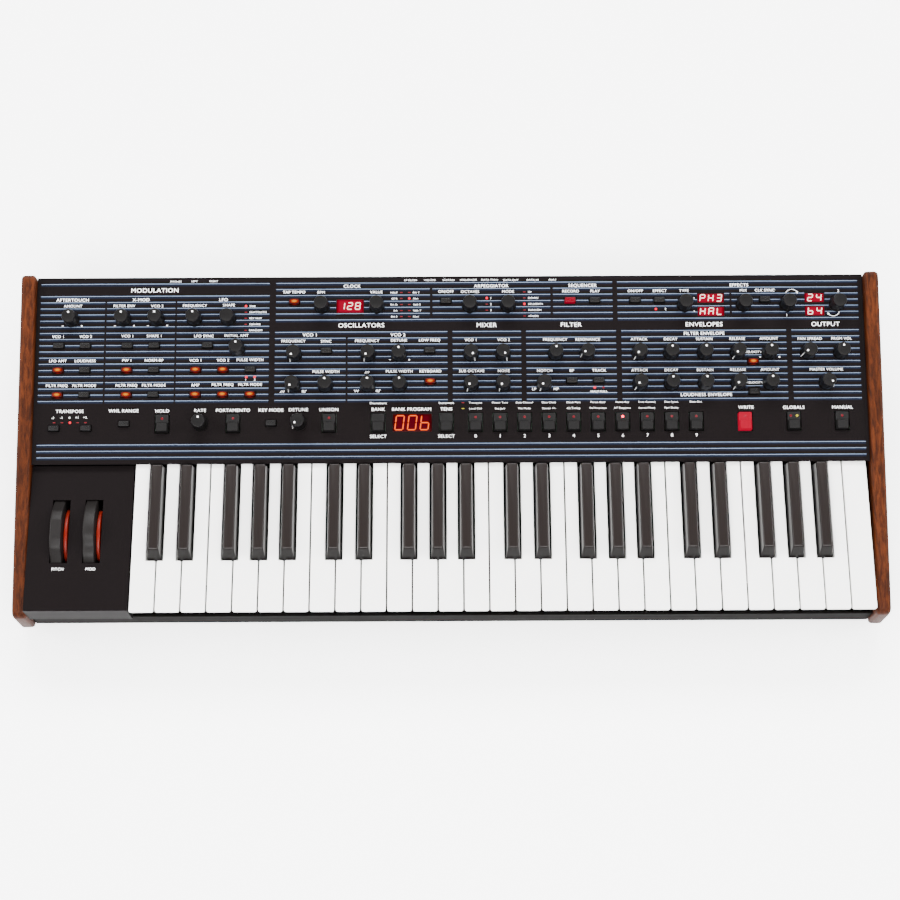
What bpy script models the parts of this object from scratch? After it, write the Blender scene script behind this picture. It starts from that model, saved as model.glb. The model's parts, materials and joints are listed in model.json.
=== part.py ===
"""A 49-key desktop synthesizer with wooden end cheeks, modelled as an assembly of its parts.

Lengths below are millimetres unless a name says otherwise. X runs along the keyboard, Y towards the
back and Z up. Depths named *_y are measured from the front of the wooden ends, and world_y turns
them into the model's Y, whose zero is the middle of the instrument. The origin is on the surface
that the feet stand on, under the middle of the instrument.

The sloping control panel has a frame of its own: x, t up the slope from the panel's front lip, and
n out of its upper face. Everything on the panel is built in that frame and then tilted as a whole.
"""

import math

import bmesh
import bpy
from mathutils import Matrix, Vector

MM = 0.001

# Overall size
WIDTH = 808.0
DEPTH = 323.0
WOOD_THICKNESS = 13.6
WOOD_DEPTH = 318.0
GAP = 0.3  # clearance between pieces that touch on the real instrument
SHEET = 1.5  # gauge of the folded steel

# Wooden ends, seen from the side
WOOD_BOTTOM_Z = 9.0
WOOD_FRONT_Z = 52.7
WOOD_SLOPE = 0.185
WOOD_EDGE = 3.5
WOOD_NOSE = 7.0

# Chassis pan and its feet
PAN_BOTTOM_Z = 9.0
PAN_FRONT_Y = 4.5
PAN_BACK_Y = 318.0
RAIL_TOP_Z = 34.0
WALL_DROP = 2.6  # how far the pan's side walls stay under the panel
FOOT_RADIUS = 9.0
FOOT_INSET_X = 40.0
FOOT_INSET_Y = 32.0
JACK_RADIUS = 5.5
JACK_PROUD = 5.0
SOCKET_DEPTH = 1.0
JACK_Z = 52.0
REAR_JACKS = (-259.4, -241.7, -223.6, -37.1, -18.9, -1.2, 16.5)
REAR_SOCKETS = (
    # x, width and height of each cut recess
    (37.0, 16.0, 13.0),
    (57.6, 16.0, 13.0),
    (78.3, 16.0, 13.0),
    (97.2, 12.0, 9.0),
    (300.0, 12.0, 18.0),
    (330.0, 27.0, 20.0),
)

# Control panel
LIP_Y = 140.2
LIP_Z = 73.8
PANEL_SLOPE = math.radians(8.88)
PANEL_LENGTH = 179.0
PANEL_THICKNESS = 1.6
PANEL_FLANGE = 11.0
BOARD_TOP = -8.5  # n of the control board's upper face
BOARD_THICKNESS = 1.6
BOARD_FRONT_T = 15.2
BOARD_BACK_T = 173.2

# The printed stripes give the grid that every control sits on
STRIPE_START = 6.9
STRIPE_PITCH = 5.85
BOTTOM_ROW = 5.35
TRANSPOSE_ROW = 4.65

# Keys
WHITE_KEYS = 29
KEY_PITCH = 23.5
KEY_GAP = 1.0
KEYS_RIGHT_X = 387.0
KEY_FRONT_Y = 0.5
KEY_TOP_Z = 70.4
KEY_PLATE = 4.0
KEY_HEAD = 47.9
KEY_PLATE_BACK_Y = 147.0
KEY_CORNER = 1.8
BLACK_FRONT_Y = 48.4
BLACK_BACK_Y = 138.0
BLACK_WIDTH = 14.0
BLACK_TOP_WIDTH = 9.8
BLACK_RISE = 11.6
BLACK_NOSE = 8.0
BLACK_CLEARANCE = 0.7
STEM_WIDTH = 8.4
STEM_FRONT_Y = 30.0
STEM_BACK_Y = 205.0
STEM_BOTTOM_Z = 48.0
STEM_TOP_Z = 62.0
PIVOT_Y = 200.0
PIVOT_Z = 55.0
# Each sharp stands a little off the joint between its white keys.
SHARP_AFTER = {"C": -1.7, "D": 2.4, "F": -3.3, "G": 0.0, "A": 2.7}
NOTES = "CDEFGAB"
FIRST_OCTAVE = 2

# Keybed frame
BED_BASE_Z = 22.0
BED_FRONT_Y = 8.0
BED_BACK_Y = 214.0
BED_STOP = (20.0, 32.0, 37.0)  # front y, back y and top z of the rail that stops the keys
BED_LEDGE = (196.0, 214.0, 47.5)  # the ledge that carries the keys' pivots
BED_SPINE = (206.4, 213.0, 60.0)  # the upright behind the keys

# Wheel panel, left of the keys
WHEEL_PANEL_RIGHT_X = -295.2
WHEEL_PANEL_TOP_Z = 68.0
WHEEL_PANEL_FRONT_Y = 2.0
WHEEL_PANEL_BACK_Y = 140.8
WHEEL_PANEL_BOTTOM_Z = 36.0
SLOT_WIDTH = 16.4
SLOT_LENGTH = 60.6
WHEEL_CENTRE_Y = 77.3
WHEEL_CENTRE_Z = 38.0
PITCH_X = -360.8
MOD_X = -330.6
WHEEL_RADIUS = 41.2
WHEEL_WIDTH = 10.5
DISC_RADIUS = 36.0
DISC_WIDTH = 4.0
WHEEL_HUB = 9.0
AXLE_RADIUS = 3.0
EAR_THICKNESS = 3.0

# Controls: rows are stripe numbers, entries are x from the middle
KNOB_SIDES = 10
KNOB_RADIUS = 7.6
KNOB_CAP_RADIUS = 6.0
KNOB_SKIRT = 4.0
KNOB_TOP = 17.5
KNOB_SHAFT = 3.0
KNOB_HOLE = 3.9
ENVELOPE_XS = (177.5, 207.1, 238.8, 269.7, 299.6)
KNOBS = {
    22.5: (-356.8, -307.6, -276.4, -240.9, -209.1),
    24.5: (-121.0, -69.0, 18.6, 54.6, 221.2, 276.9, 318.1, 364.9),
    17.5: (-200.1,),
    16.5: (-146.5, -77.1, -48.2, 19.5, 49.5, 99.0, 128.7, 335.8, 366.7) + ENVELOPE_XS,
    11.5: (-147.7, -117.0, -77.4, -47.6, 19.5, 49.5, 87.7) + ENVELOPE_XS,
    BOTTOM_ROW: (-233.8, -142.0),
}
MASTER_VOLUME = (352.1, 11.5)

SMALL_BUTTON = (10.0, 5.5)
SMALL_PROUD = 3.0
BUTTON_GAP = 0.4
MODULATION_XS = (-368.2, -343.1, -303.7, -278.4, -239.1, -213.5, -187.7)
SMALL_BUTTONS = {
    18.15: (-368.2, -343.1, -303.7, -278.4, -228.2),
    14.15: MODULATION_XS,
    10.1: MODULATION_XS,
    25.3: (-146.9, -3.8, 113.5, 136.6, 174.8, 197.6, 297.0),
    17.15: (-116.4, -19.4),
    12.1: (-18.9, 113.8, 139.0),
    15.1: (284.4,),
    10.15: (284.4,),
    TRANSPOSE_ROW: (-370.4, -340.5),
    BOTTOM_ROW: (-305.1, -167.7),
}
LARGE_BUTTON = (12.0, 17.0)
LARGE_RECESS = (14.0, 18.6)
LARGE_PROUD = 3.2
NUMBER_XS = tuple(23.4 + 22.9 * digit for digit in range(10))
LARGE_BUTTON_XS = (-269.4, -203.2, -113.5, -67.7, -3.9, 320.6, 365.6) + NUMBER_XS
WRITE_X = 275.3
WRITE_TRAVEL = 1.2
DISPLAYS = (
    # x, stripe row, width, height
    (-94.4, 24.55, 26.0, 13.5),
    (246.4, 25.6, 25.3, 9.2),
    (246.4, 23.4, 25.3, 9.2),
    (344.3, 25.6, 18.6, 9.2),
    (344.3, 23.4, 18.6, 9.2),
    (-35.8, BOTTOM_ROW, 37.0, 17.5),
)

INNER_HALF = WIDTH / 2 - WOOD_THICKNESS  # half the width between the wooden ends
STEEL_HALF = INNER_HALF - GAP


def world_y(y):
    """The model's Y of a depth measured from the front."""
    return y - DEPTH / 2


def stripe(row):
    """Distance t up the panel of a stripe number."""
    return STRIPE_START + STRIPE_PITCH * row


def panel_z(y):
    """Height of the panel's upper face at a depth."""
    return LIP_Z + math.tan(PANEL_SLOPE) * (y - LIP_Y)


def wood_z(y):
    """Height of the wooden ends' upper edge at a depth."""
    return WOOD_FRONT_Z + WOOD_SLOPE * y


def clear_scene():
    for item in list(bpy.data.objects):
        bpy.data.objects.remove(item, do_unlink=True)


def new_collection(name):
    collection = bpy.data.collections.new(name)
    bpy.context.scene.collection.children.link(collection)
    return collection


def make_material(name, colour, roughness, metallic=0.0):
    """A Principled material of one colour."""
    material = bpy.data.materials.new(name)
    material.use_nodes = True
    shader = material.node_tree.nodes["Principled BSDF"]
    shader.inputs["Base Color"].default_value = (*colour, 1.0)
    shader.inputs["Roughness"].default_value = roughness
    shader.inputs["Metallic"].default_value = metallic
    return material


def add_object(name, bm, collection, material=None):
    """Put a bmesh, built in millimetres, into a new object in metres."""
    mesh = bpy.data.meshes.new(name)
    bmesh.ops.scale(bm, vec=(MM, MM, MM), verts=bm.verts)
    bmesh.ops.recalc_face_normals(bm, faces=bm.faces)
    bm.to_mesh(mesh)
    bm.free()
    item = bpy.data.objects.new(name, mesh)
    collection.objects.link(item)
    if material:
        mesh.materials.append(material)
    return item


def add_box(bm, low, high):
    """A cuboid between two corners; returns its vertices."""
    centre = [(a + b) / 2 for a, b in zip(low, high)]
    size = [b - a for a, b in zip(low, high)]
    place = Matrix.Translation(centre) @ Matrix.Diagonal((*size, 1.0))
    return bmesh.ops.create_cube(bm, size=1.0, matrix=place)["verts"]


def add_cylinder(bm, centre, radius, depth, sides, axis="Z"):
    """A closed cylinder with its middle at a point, along X, Y or Z."""
    quarter = math.pi / 2
    turn = {"Z": Matrix(), "X": Matrix.Rotation(quarter, 4, "Y"), "Y": Matrix.Rotation(quarter, 4, "X")}
    place = Matrix.Translation(centre) @ turn[axis]
    bmesh.ops.create_cone(
        bm, cap_ends=True, segments=sides, radius1=radius, radius2=radius, depth=depth, matrix=place
    )


def boolean(item, operation, others):
    """Cut or join an object with others, and bake the result into its mesh."""
    for other in others:
        modifier = item.modifiers.new(operation.lower(), "BOOLEAN")
        modifier.operation = operation
        modifier.solver = "EXACT"
        modifier.object = other
    bake(item)
    for other in others:
        bpy.data.objects.remove(other, do_unlink=True)


def bake(item):
    """Replace an object's mesh with its evaluated one."""
    bpy.context.view_layer.update()
    graph = bpy.context.evaluated_depsgraph_get()
    finished = bpy.data.meshes.new_from_object(item.evaluated_get(graph))
    finished.name = item.name
    item.modifiers.clear()
    item.data = finished


def outline_solid(name, points, thickness, collection, material=None):
    """A closed flat outline, drawn in a curve's own XY plane, given a thickness along its Z."""
    curve = bpy.data.curves.new(name, "CURVE")
    curve.dimensions = "2D"
    curve.fill_mode = "BOTH"
    curve.extrude = thickness / 2 * MM
    spline = curve.splines.new("POLY")
    spline.points.add(len(points) - 1)
    for point, (u, v) in zip(spline.points, points):
        point.co = (u * MM, v * MM, 0.0, 1.0)
    spline.use_cyclic_u = True
    drawn = bpy.data.objects.new(name + "_outline", curve)
    collection.objects.link(drawn)
    bpy.context.view_layer.update()
    graph = bpy.context.evaluated_depsgraph_get()
    mesh = bpy.data.meshes.new_from_object(drawn.evaluated_get(graph))
    mesh.name = name
    bpy.data.objects.remove(drawn, do_unlink=True)
    bm = bmesh.new()
    bm.from_mesh(mesh)
    bmesh.ops.remove_doubles(bm, verts=bm.verts, dist=1e-6)
    bmesh.ops.recalc_face_normals(bm, faces=bm.faces)
    bm.to_mesh(mesh)
    bm.free()
    item = bpy.data.objects.new(name, mesh)
    collection.objects.link(item)
    if material:
        mesh.materials.append(material)
    return item


def stand_on_side(item, x):
    """Turn a side-view outline, drawn as (depth, height), so that it faces along X at a place."""
    turn = Matrix(((0, 0, 1, 0), (1, 0, 0, 0), (0, 1, 0, 0), (0, 0, 0, 1)))
    place = Matrix.Translation((x * MM, world_y(0.0) * MM, 0.0)) @ turn
    item.data.transform(place)


def tilt_with_panel(item, at=(0.0, 0.0, 0.0)):
    """Stand a piece built in the panel's frame, around a point of that frame, in its place."""
    lip = Matrix.Translation((0.0, world_y(LIP_Y) * MM, LIP_Z * MM))
    slope = Matrix.Rotation(PANEL_SLOPE, 4, "X")
    item.matrix_world = lip @ slope @ Matrix.Translation(Vector(at) * MM)


def wooden_end(name, side, parts, material):
    """A board whose front corner is rounded, whose top runs straight up to the back, with soft edges."""
    nose_y = WOOD_NOSE
    points = [(0.0, WOOD_BOTTOM_Z + 3.0), (3.0, WOOD_BOTTOM_Z), (WOOD_DEPTH - 3.0, WOOD_BOTTOM_Z)]
    points += [(WOOD_DEPTH, WOOD_BOTTOM_Z + 3.0), (WOOD_DEPTH, wood_z(WOOD_DEPTH) - 5.0)]
    points += [(WOOD_DEPTH - 4.0, wood_z(WOOD_DEPTH - 4.0))]
    centre_z = wood_z(nose_y) - nose_y
    for step in range(5):
        angle = math.radians(100.0 + 20.0 * step)
        points.append((nose_y + nose_y * math.cos(angle), centre_z + nose_y * math.sin(angle)))
    item = outline_solid(name, points, WOOD_THICKNESS, parts, material)
    stand_on_side(item, side * (WIDTH - WOOD_THICKNESS) / 2)
    soften_rims(item)
    return item


def soften_rims(item):
    """Round the edges around the two flat sides of a board that faces along X."""
    bm = bmesh.new()
    bm.from_mesh(item.data)
    bmesh.ops.dissolve_limit(bm, angle_limit=0.001, verts=bm.verts, edges=bm.edges)
    rims = [e for e in bm.edges if abs(e.verts[0].co.x - e.verts[1].co.x) < 1e-6]
    bmesh.ops.bevel(bm, geom=rims, offset=WOOD_EDGE * MM, segments=2, profile=0.5, affect="EDGES")
    bm.to_mesh(item.data)
    bm.free()


def chassis_pan(parts, cutters, material):
    """A folded tray with feet, a front rail, low side walls and the rear wall with its sockets."""
    front, back = PAN_FRONT_Y, PAN_BACK_Y
    rear_top = panel_z(back) - WALL_DROP - PANEL_FLANGE
    outer = [(front, PAN_BOTTOM_Z), (back, PAN_BOTTOM_Z), (back, rear_top), (back - 14.0, rear_top)]
    outer += [(LIP_Y + 6.0, WHEEL_PANEL_TOP_Z - 6.0), (30.0, 45.0), (front, RAIL_TOP_Z)]
    item = outline_solid("chassis_pan", outer, 2 * STEEL_HALF, parts, material)
    stand_on_side(item, 0.0)
    inner_floor = PAN_BOTTOM_Z + SHEET
    hollow = bmesh.new()
    low = (-STEEL_HALF + SHEET, world_y(front + SHEET), inner_floor)
    high = (STEEL_HALF - SHEET, world_y(back - SHEET), DEPTH)
    add_box(hollow, low, high)
    cut = add_object("pan_hollow", hollow, cutters)
    boolean(item, "DIFFERENCE", [cut])

    bosses = bmesh.new()
    for x in (-WIDTH / 2 + FOOT_INSET_X, WIDTH / 2 - FOOT_INSET_X):
        for y in (FOOT_INSET_Y, DEPTH - FOOT_INSET_Y):
            height = PAN_BOTTOM_Z + SHEET / 2
            add_cylinder(bosses, (x, world_y(y), height / 2), FOOT_RADIUS, height, 14)
    for x in REAR_JACKS:
        y = world_y(back + JACK_PROUD / 2 - SHEET / 2)
        add_cylinder(bosses, (x, y, JACK_Z), JACK_RADIUS, JACK_PROUD + SHEET, 8, "Y")
    boolean(item, "UNION", [add_object("pan_bosses", bosses, cutters)])

    recesses = bmesh.new()
    for x, width, height in REAR_SOCKETS:
        low = (x - width / 2, world_y(back - SOCKET_DEPTH), JACK_Z - height / 2)
        high = (x + width / 2, world_y(back + 5.0), JACK_Z + height / 2)
        add_box(recesses, low, high)
    boolean(item, "DIFFERENCE", [add_object("pan_recesses", recesses, cutters)])
    return item


def control_panel(parts, cutters, material):
    """The sloping steel panel, folded down at the back, with a hole for every control."""
    sheet = bmesh.new()
    half = STEEL_HALF
    add_box(sheet, (-half, 0.0, -PANEL_THICKNESS), (half, PANEL_LENGTH, 0.0))
    item = add_object("control_panel", sheet, parts, material)
    tilt_with_panel(item)
    fold = bmesh.new()
    back_y = LIP_Y + PANEL_LENGTH * math.cos(PANEL_SLOPE)
    top = panel_z(back_y) - 0.5
    low = (-half, world_y(back_y - SHEET), top - PANEL_FLANGE)
    add_box(fold, low, (half, world_y(back_y), top))
    boolean(item, "UNION", [add_object("panel_fold", fold, cutters)])

    holes = bmesh.new()
    for x, row in knob_places() + [MASTER_VOLUME]:
        add_cylinder(holes, (x, stripe(row), -PANEL_THICKNESS / 2), KNOB_HOLE, 4.0, 8)
    for x, row, width, height in openings_in_panel():
        t = stripe(row)
        low = (x - width / 2, t - height / 2, -PANEL_THICKNESS - 1.0)
        add_box(holes, low, (x + width / 2, t + height / 2, 1.0))
    cut = add_object("panel_holes", holes, cutters)
    tilt_with_panel(cut)
    boolean(item, "DIFFERENCE", [cut])
    return item


def knob_places():
    return [(x, row) for row, xs in KNOBS.items() for x in xs]


def small_button_places():
    return [(x, row) for row, xs in SMALL_BUTTONS.items() for x in xs]


def openings_in_panel():
    """Every rectangular hole: x, stripe row, width and height."""
    around = 2 * BUTTON_GAP
    width, height = SMALL_BUTTON
    small = [(x, row, width + around, height + around) for x, row in small_button_places()]
    large = [(x, BOTTOM_ROW, *LARGE_RECESS) for x in LARGE_BUTTON_XS + (WRITE_X,)]
    windows = [(x, row, width, height) for x, row, width, height in DISPLAYS]
    return small + large + windows


def turned_knob(name, shaft_end, sides, collection, material=None):
    """A knob with a skirt, a tapered cap and a shaft that ends at a height, turned about its axis."""
    cap = KNOB_CAP_RADIUS
    profile = [(0.0, KNOB_TOP), (cap - 0.8, KNOB_TOP), (cap, KNOB_TOP - 0.8), (cap + 0.4, KNOB_SKIRT)]
    profile += [(KNOB_RADIUS, 0.6), (KNOB_SHAFT, 0.6), (KNOB_SHAFT, shaft_end), (0.0, shaft_end)]
    bm = bmesh.new()
    ring = [bm.verts.new((r, 0.0, z)) for r, z in profile]
    for a, b in zip(ring, ring[1:]):
        bm.edges.new((a, b))
    item = add_object(name, bm, collection, material)
    screw = item.modifiers.new("turn", "SCREW")
    screw.steps = sides
    screw.render_steps = sides
    screw.use_merge_vertices = True
    screw.merge_threshold = 0.00001
    bake(item)
    return item


def add_copies(bm, mesh, places):
    """Add a copy of a finished mesh, in metres, at each place in millimetres."""
    for place in places:
        before = len(bm.verts)
        bm.from_mesh(mesh)
        bm.verts.ensure_lookup_table()
        added = bm.verts[before:]
        bmesh.ops.scale(bm, vec=(1 / MM, 1 / MM, 1 / MM), verts=added)
        bmesh.ops.translate(bm, vec=place, verts=added)


def control_board(parts, cutters, material):
    """The circuit board under the panel with its potentiometers, switches and displays on it."""
    slab = bmesh.new()
    half = STEEL_HALF - 4.0
    add_box(slab, (-half, BOARD_FRONT_T, BOARD_TOP - BOARD_THICKNESS), (half, BOARD_BACK_T, BOARD_TOP))
    item = add_object("control_board", slab, parts, material)
    tilt_with_panel(item)

    root = BOARD_TOP - BOARD_THICKNESS / 2
    master = turned_knob("knob_master", root, KNOB_SIDES, cutters)
    stubs = bmesh.new()
    add_copies(stubs, master.data, [(x, stripe(row), 0.0) for x, row in knob_places()])
    bpy.data.objects.remove(master, do_unlink=True)
    blocks = [(x, row, *SMALL_BUTTON, SMALL_PROUD) for x, row in small_button_places()]
    blocks += [(x, BOTTOM_ROW, *LARGE_BUTTON, LARGE_PROUD) for x in LARGE_BUTTON_XS]
    blocks += [(x, row, w - 2 * BUTTON_GAP, h - 2 * BUTTON_GAP, -0.6) for x, row, w, h in DISPLAYS]
    for x, row, width, height, top in blocks:
        t = stripe(row)
        add_box(stubs, (x - width / 2, t - height / 2, root), (x + width / 2, t + height / 2, top))
    controls = add_object("board_controls", stubs, cutters)
    tilt_with_panel(controls)
    boolean(item, "UNION", [controls])
    return item


def master_volume_knob(parts, material):
    item = turned_knob("master_volume_knob", BOARD_TOP + GAP, 16, parts, material)
    tilt_with_panel(item, (MASTER_VOLUME[0], stripe(MASTER_VOLUME[1]), 0.0))
    return item


def write_button(parts, material):
    """The cap of the write button, which slides into its recess."""
    bm = bmesh.new()
    width, height = LARGE_BUTTON
    base = BOARD_TOP + GAP + WRITE_TRAVEL
    add_box(bm, (-width / 2, -height / 2, base), (width / 2, height / 2, LARGE_PROUD))
    item = add_object("write_button", bm, parts, material)
    tilt_with_panel(item, (WRITE_X, stripe(BOTTOM_ROW), 0.0))
    return item


def keybed_frame(parts, cutters, material):
    """A folded channel under the keys: a stop rail in front and the pivot ledge behind."""
    left, right = keys_left_x(), KEYS_RIGHT_X
    base = bmesh.new()
    add_box(base, (left, world_y(BED_FRONT_Y), BED_BASE_Z), (right, world_y(BED_BACK_Y), BED_BASE_Z + 2.0))
    item = add_object("keybed_frame", base, parts, material)
    rails = bmesh.new()
    for front, back, top in (BED_STOP, BED_LEDGE):
        add_box(rails, (left, world_y(front), BED_BASE_Z + 1.0), (right, world_y(back), top))
    boolean(item, "UNION", [add_object("bed_rails", rails, cutters)])
    front, back, top = BED_SPINE
    upright = bmesh.new()
    add_box(upright, (left, world_y(front), BED_BASE_Z + 1.0), (right, world_y(back), top))
    boolean(item, "UNION", [add_object("bed_spine", upright, cutters)])
    return item


def keys_left_x():
    return KEYS_RIGHT_X - WHITE_KEYS * KEY_PITCH + KEY_GAP


def wheel_panel(parts, cutters, material):
    """The folded cover left of the keys, with the two wheel slots and the ears that carry the wheels."""
    left, right = -STEEL_HALF, WHEEL_PANEL_RIGHT_X
    front, back = WHEEL_PANEL_FRONT_Y, WHEEL_PANEL_BACK_Y
    shell = bmesh.new()
    add_box(shell, (left, world_y(front), WHEEL_PANEL_BOTTOM_Z), (right, world_y(back), WHEEL_PANEL_TOP_Z))
    item = add_object("wheel_panel", shell, parts, material)
    cuts = bmesh.new()
    low = (left - 5.0, world_y(front + SHEET), WHEEL_PANEL_BOTTOM_Z - 5.0)
    add_box(cuts, low, (right - SHEET, world_y(back + 5.0), WHEEL_PANEL_TOP_Z - SHEET))
    hollow = add_object("wheel_panel_hollow", cuts, cutters)
    boolean(item, "DIFFERENCE", [hollow])

    slots = bmesh.new()
    for x in (PITCH_X, MOD_X):
        half_x, half_y = SLOT_WIDTH / 2, SLOT_LENGTH / 2
        low = (x - half_x, world_y(WHEEL_CENTRE_Y - half_y), WHEEL_PANEL_TOP_Z - 4.0)
        add_box(slots, low, (x + half_x, world_y(WHEEL_CENTRE_Y + half_y), WHEEL_PANEL_TOP_Z + 4.0))
    boolean(item, "DIFFERENCE", [add_object("wheel_slots", slots, cutters)])

    ears = bmesh.new()
    for x in (PITCH_X, MOD_X):
        inner = x - SLOT_WIDTH / 2 - GAP
        low = (inner - EAR_THICKNESS, world_y(WHEEL_CENTRE_Y - 9.0), WHEEL_CENTRE_Z - 9.0)
        add_box(ears, low, (inner, world_y(WHEEL_CENTRE_Y + 9.0), WHEEL_PANEL_TOP_Z - SHEET / 2))
    boolean(item, "UNION", [add_object("wheel_ears", ears, cutters)])
    axles = bmesh.new()
    for x in (PITCH_X, MOD_X):
        start = x - SLOT_WIDTH / 2 - GAP - EAR_THICKNESS / 2
        end = x + SLOT_WIDTH / 2 - 1.0
        centre = ((start + end) / 2, world_y(WHEEL_CENTRE_Y), WHEEL_CENTRE_Z)
        add_cylinder(axles, centre, AXLE_RADIUS, end - start, 10, "X")
    boolean(item, "UNION", [add_object("wheel_axles", axles, cutters)])
    return item


def sector(radius, hub, start, end, steps):
    """Points of a sector around the origin, as (depth, height), with angles from the top to the back."""
    points = []
    for step in range(steps + 1):
        angle = math.radians(start + (end - start) * step / steps)
        points.append((radius * math.sin(angle), radius * math.cos(angle)))
    rest = 360.0 - (end - start)
    for step in range(1, 6):
        angle = math.radians(end + rest * step / 6)
        points.append((hub * math.sin(angle), hub * math.cos(angle)))
    return points


def performance_wheel(name, x, start, end, parts, cutters, material):
    """A sector wheel with its coloured disc on the right, bored for its axle; its origin is the axle."""
    left = -SLOT_WIDTH / 2 + 0.8
    rim = outline_solid(name, sector(WHEEL_RADIUS, WHEEL_HUB, start, end, 20), WHEEL_WIDTH, parts, material)
    disc_points = sector(DISC_RADIUS, WHEEL_HUB - 0.5, start + 2.0, end - 2.0, 18)
    disc = outline_solid(name + "_disc", disc_points, DISC_WIDTH + 1.0, cutters)
    turn = Matrix(((0, 0, 1, 0), (1, 0, 0, 0), (0, 1, 0, 0), (0, 0, 0, 1)))
    rim.data.transform(Matrix.Translation(((left + WHEEL_WIDTH / 2) * MM, 0, 0)) @ turn)
    disc_x = left + WHEEL_WIDTH + DISC_WIDTH / 2 - 0.5
    disc.data.transform(Matrix.Translation((disc_x * MM, 0, 0)) @ turn)
    boolean(rim, "UNION", [disc])
    bore = bmesh.new()
    add_cylinder(bore, (0.0, 0.0, 0.0), AXLE_RADIUS + 0.5, 40.0, 12, "X")
    boolean(rim, "DIFFERENCE", [add_object(name + "_bore", bore, cutters)])
    rim.location = Vector((x, world_y(WHEEL_CENTRE_Y), WHEEL_CENTRE_Z)) * MM
    return rim


def white_key(name, x, cut_left, cut_right, stem_x, parts, cutters, material):
    """A white key: a wide head, a neck between its sharps, and a stem back to the pivot."""
    half = (KEY_PITCH - KEY_GAP) / 2
    top, under = KEY_TOP_Z, KEY_TOP_Z - KEY_PLATE
    head_back = KEY_FRONT_Y + KEY_HEAD
    head = bmesh.new()
    add_box(head, (x - half, world_y(KEY_FRONT_Y), under), (x + half, world_y(head_back), top))
    corners = [e for e in head.edges if all(abs(v.co.y - world_y(KEY_FRONT_Y)) < 0.01 for v in e.verts)]
    corners = [e for e in corners if abs(e.verts[0].co.z - e.verts[1].co.z) > 1.0]
    bmesh.ops.bevel(head, geom=corners, offset=KEY_CORNER, segments=2, profile=0.5, affect="EDGES")
    item = add_object(name, head, parts, material)
    rest = bmesh.new()
    neck_low = (x - half + cut_left, world_y(head_back - 5.0), under)
    add_box(rest, neck_low, (x + half - cut_right, world_y(KEY_PLATE_BACK_Y), top))
    boolean(item, "UNION", [add_object(name + "_neck", rest, cutters)])
    web = bmesh.new()
    low = (stem_x - STEM_WIDTH / 2, world_y(STEM_FRONT_Y), STEM_BOTTOM_Z)
    add_box(web, low, (stem_x + STEM_WIDTH / 2, world_y(LIP_Y + 3.0), under + 1.0))
    boolean(item, "UNION", [add_object(name + "_web", web, cutters)])
    boolean(item, "UNION", [key_stem(name, stem_x, cutters)])
    return item


def key_stem(name, x, cutters):
    """The bar that carries a key back to its pivot."""
    bar = bmesh.new()
    low = (x - STEM_WIDTH / 2 + 0.3, world_y(LIP_Y - 10.0), STEM_BOTTOM_Z + 0.4)
    add_box(bar, low, (x + STEM_WIDTH / 2 - 0.3, world_y(STEM_BACK_Y), STEM_TOP_Z))
    return add_object(name + "_stem", bar, cutters)


def black_key(name, x, parts, cutters, material):
    """A sharp: a block that narrows to its top, with a sloping nose, on its own stem."""
    bottom, top = KEY_TOP_Z - KEY_PLATE + 0.2, KEY_TOP_Z + BLACK_RISE
    block = bmesh.new()
    low = (x - BLACK_WIDTH / 2, world_y(BLACK_FRONT_Y), bottom)
    corners = add_box(block, low, (x + BLACK_WIDTH / 2, world_y(BLACK_BACK_Y), top))
    for corner in corners:
        if corner.co.z > (bottom + top) / 2:
            corner.co.x = x + math.copysign(BLACK_TOP_WIDTH / 2, corner.co.x - x)
            if corner.co.y < world_y(100.0):
                corner.co.y += BLACK_NOSE
            else:
                corner.co.y -= 0.6
    item = add_object(name, block, parts, material)
    web = bmesh.new()
    low = (x - STEM_WIDTH / 2, world_y(BLACK_FRONT_Y + 6.0), STEM_BOTTOM_Z)
    add_box(web, low, (x + STEM_WIDTH / 2, world_y(BLACK_BACK_Y - 3.0), bottom + 1.0))
    boolean(item, "UNION", [add_object(name + "_web", web, cutters)])
    boolean(item, "UNION", [key_stem(name, x, cutters)])
    return item


def set_origin(item, point):
    """Move an object's origin to a point in millimetres and leave its shape where it is."""
    target = Vector(point) * MM
    item.data.transform(Matrix.Translation(-target))
    item.location = target


def keyboard(parts, cutters, ivory, ebony):
    """All the keys, from the lowest C to the highest, each with its origin on its pivot."""
    first_x = KEYS_RIGHT_X - (WHITE_KEYS - 0.5) * KEY_PITCH + KEY_GAP / 2
    half = (KEY_PITCH - KEY_GAP) / 2
    reach = BLACK_WIDTH / 2 + BLACK_CLEARANCE
    for index in range(WHITE_KEYS):
        note = NOTES[index % 7]
        octave = FIRST_OCTAVE + index // 7
        x = first_x + index * KEY_PITCH
        before = NOTES[(index - 1) % 7]
        has_before = index > 0 and before in SHARP_AFTER
        has_after = index < WHITE_KEYS - 1 and note in SHARP_AFTER
        sharp_before = SHARP_AFTER.get(before, 0.0) - KEY_PITCH / 2
        sharp_after = SHARP_AFTER.get(note, 0.0) + KEY_PITCH / 2
        cut_left = sharp_before + reach + half if has_before else 0.0
        cut_right = half - (sharp_after - reach) if has_after else 0.0
        stem_x = x + (cut_left - cut_right) / 2
        key = white_key(f"key_{note}{octave}", x, cut_left, cut_right, stem_x, parts, cutters, ivory)
        set_origin(key, (stem_x, world_y(PIVOT_Y), PIVOT_Z))
        if has_after:
            sharp_x = x + sharp_after
            sharp = black_key(f"key_{note}{octave}_sharp", sharp_x, parts, cutters, ebony)
            set_origin(sharp, (sharp_x, world_y(PIVOT_Y), PIVOT_Z))


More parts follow.
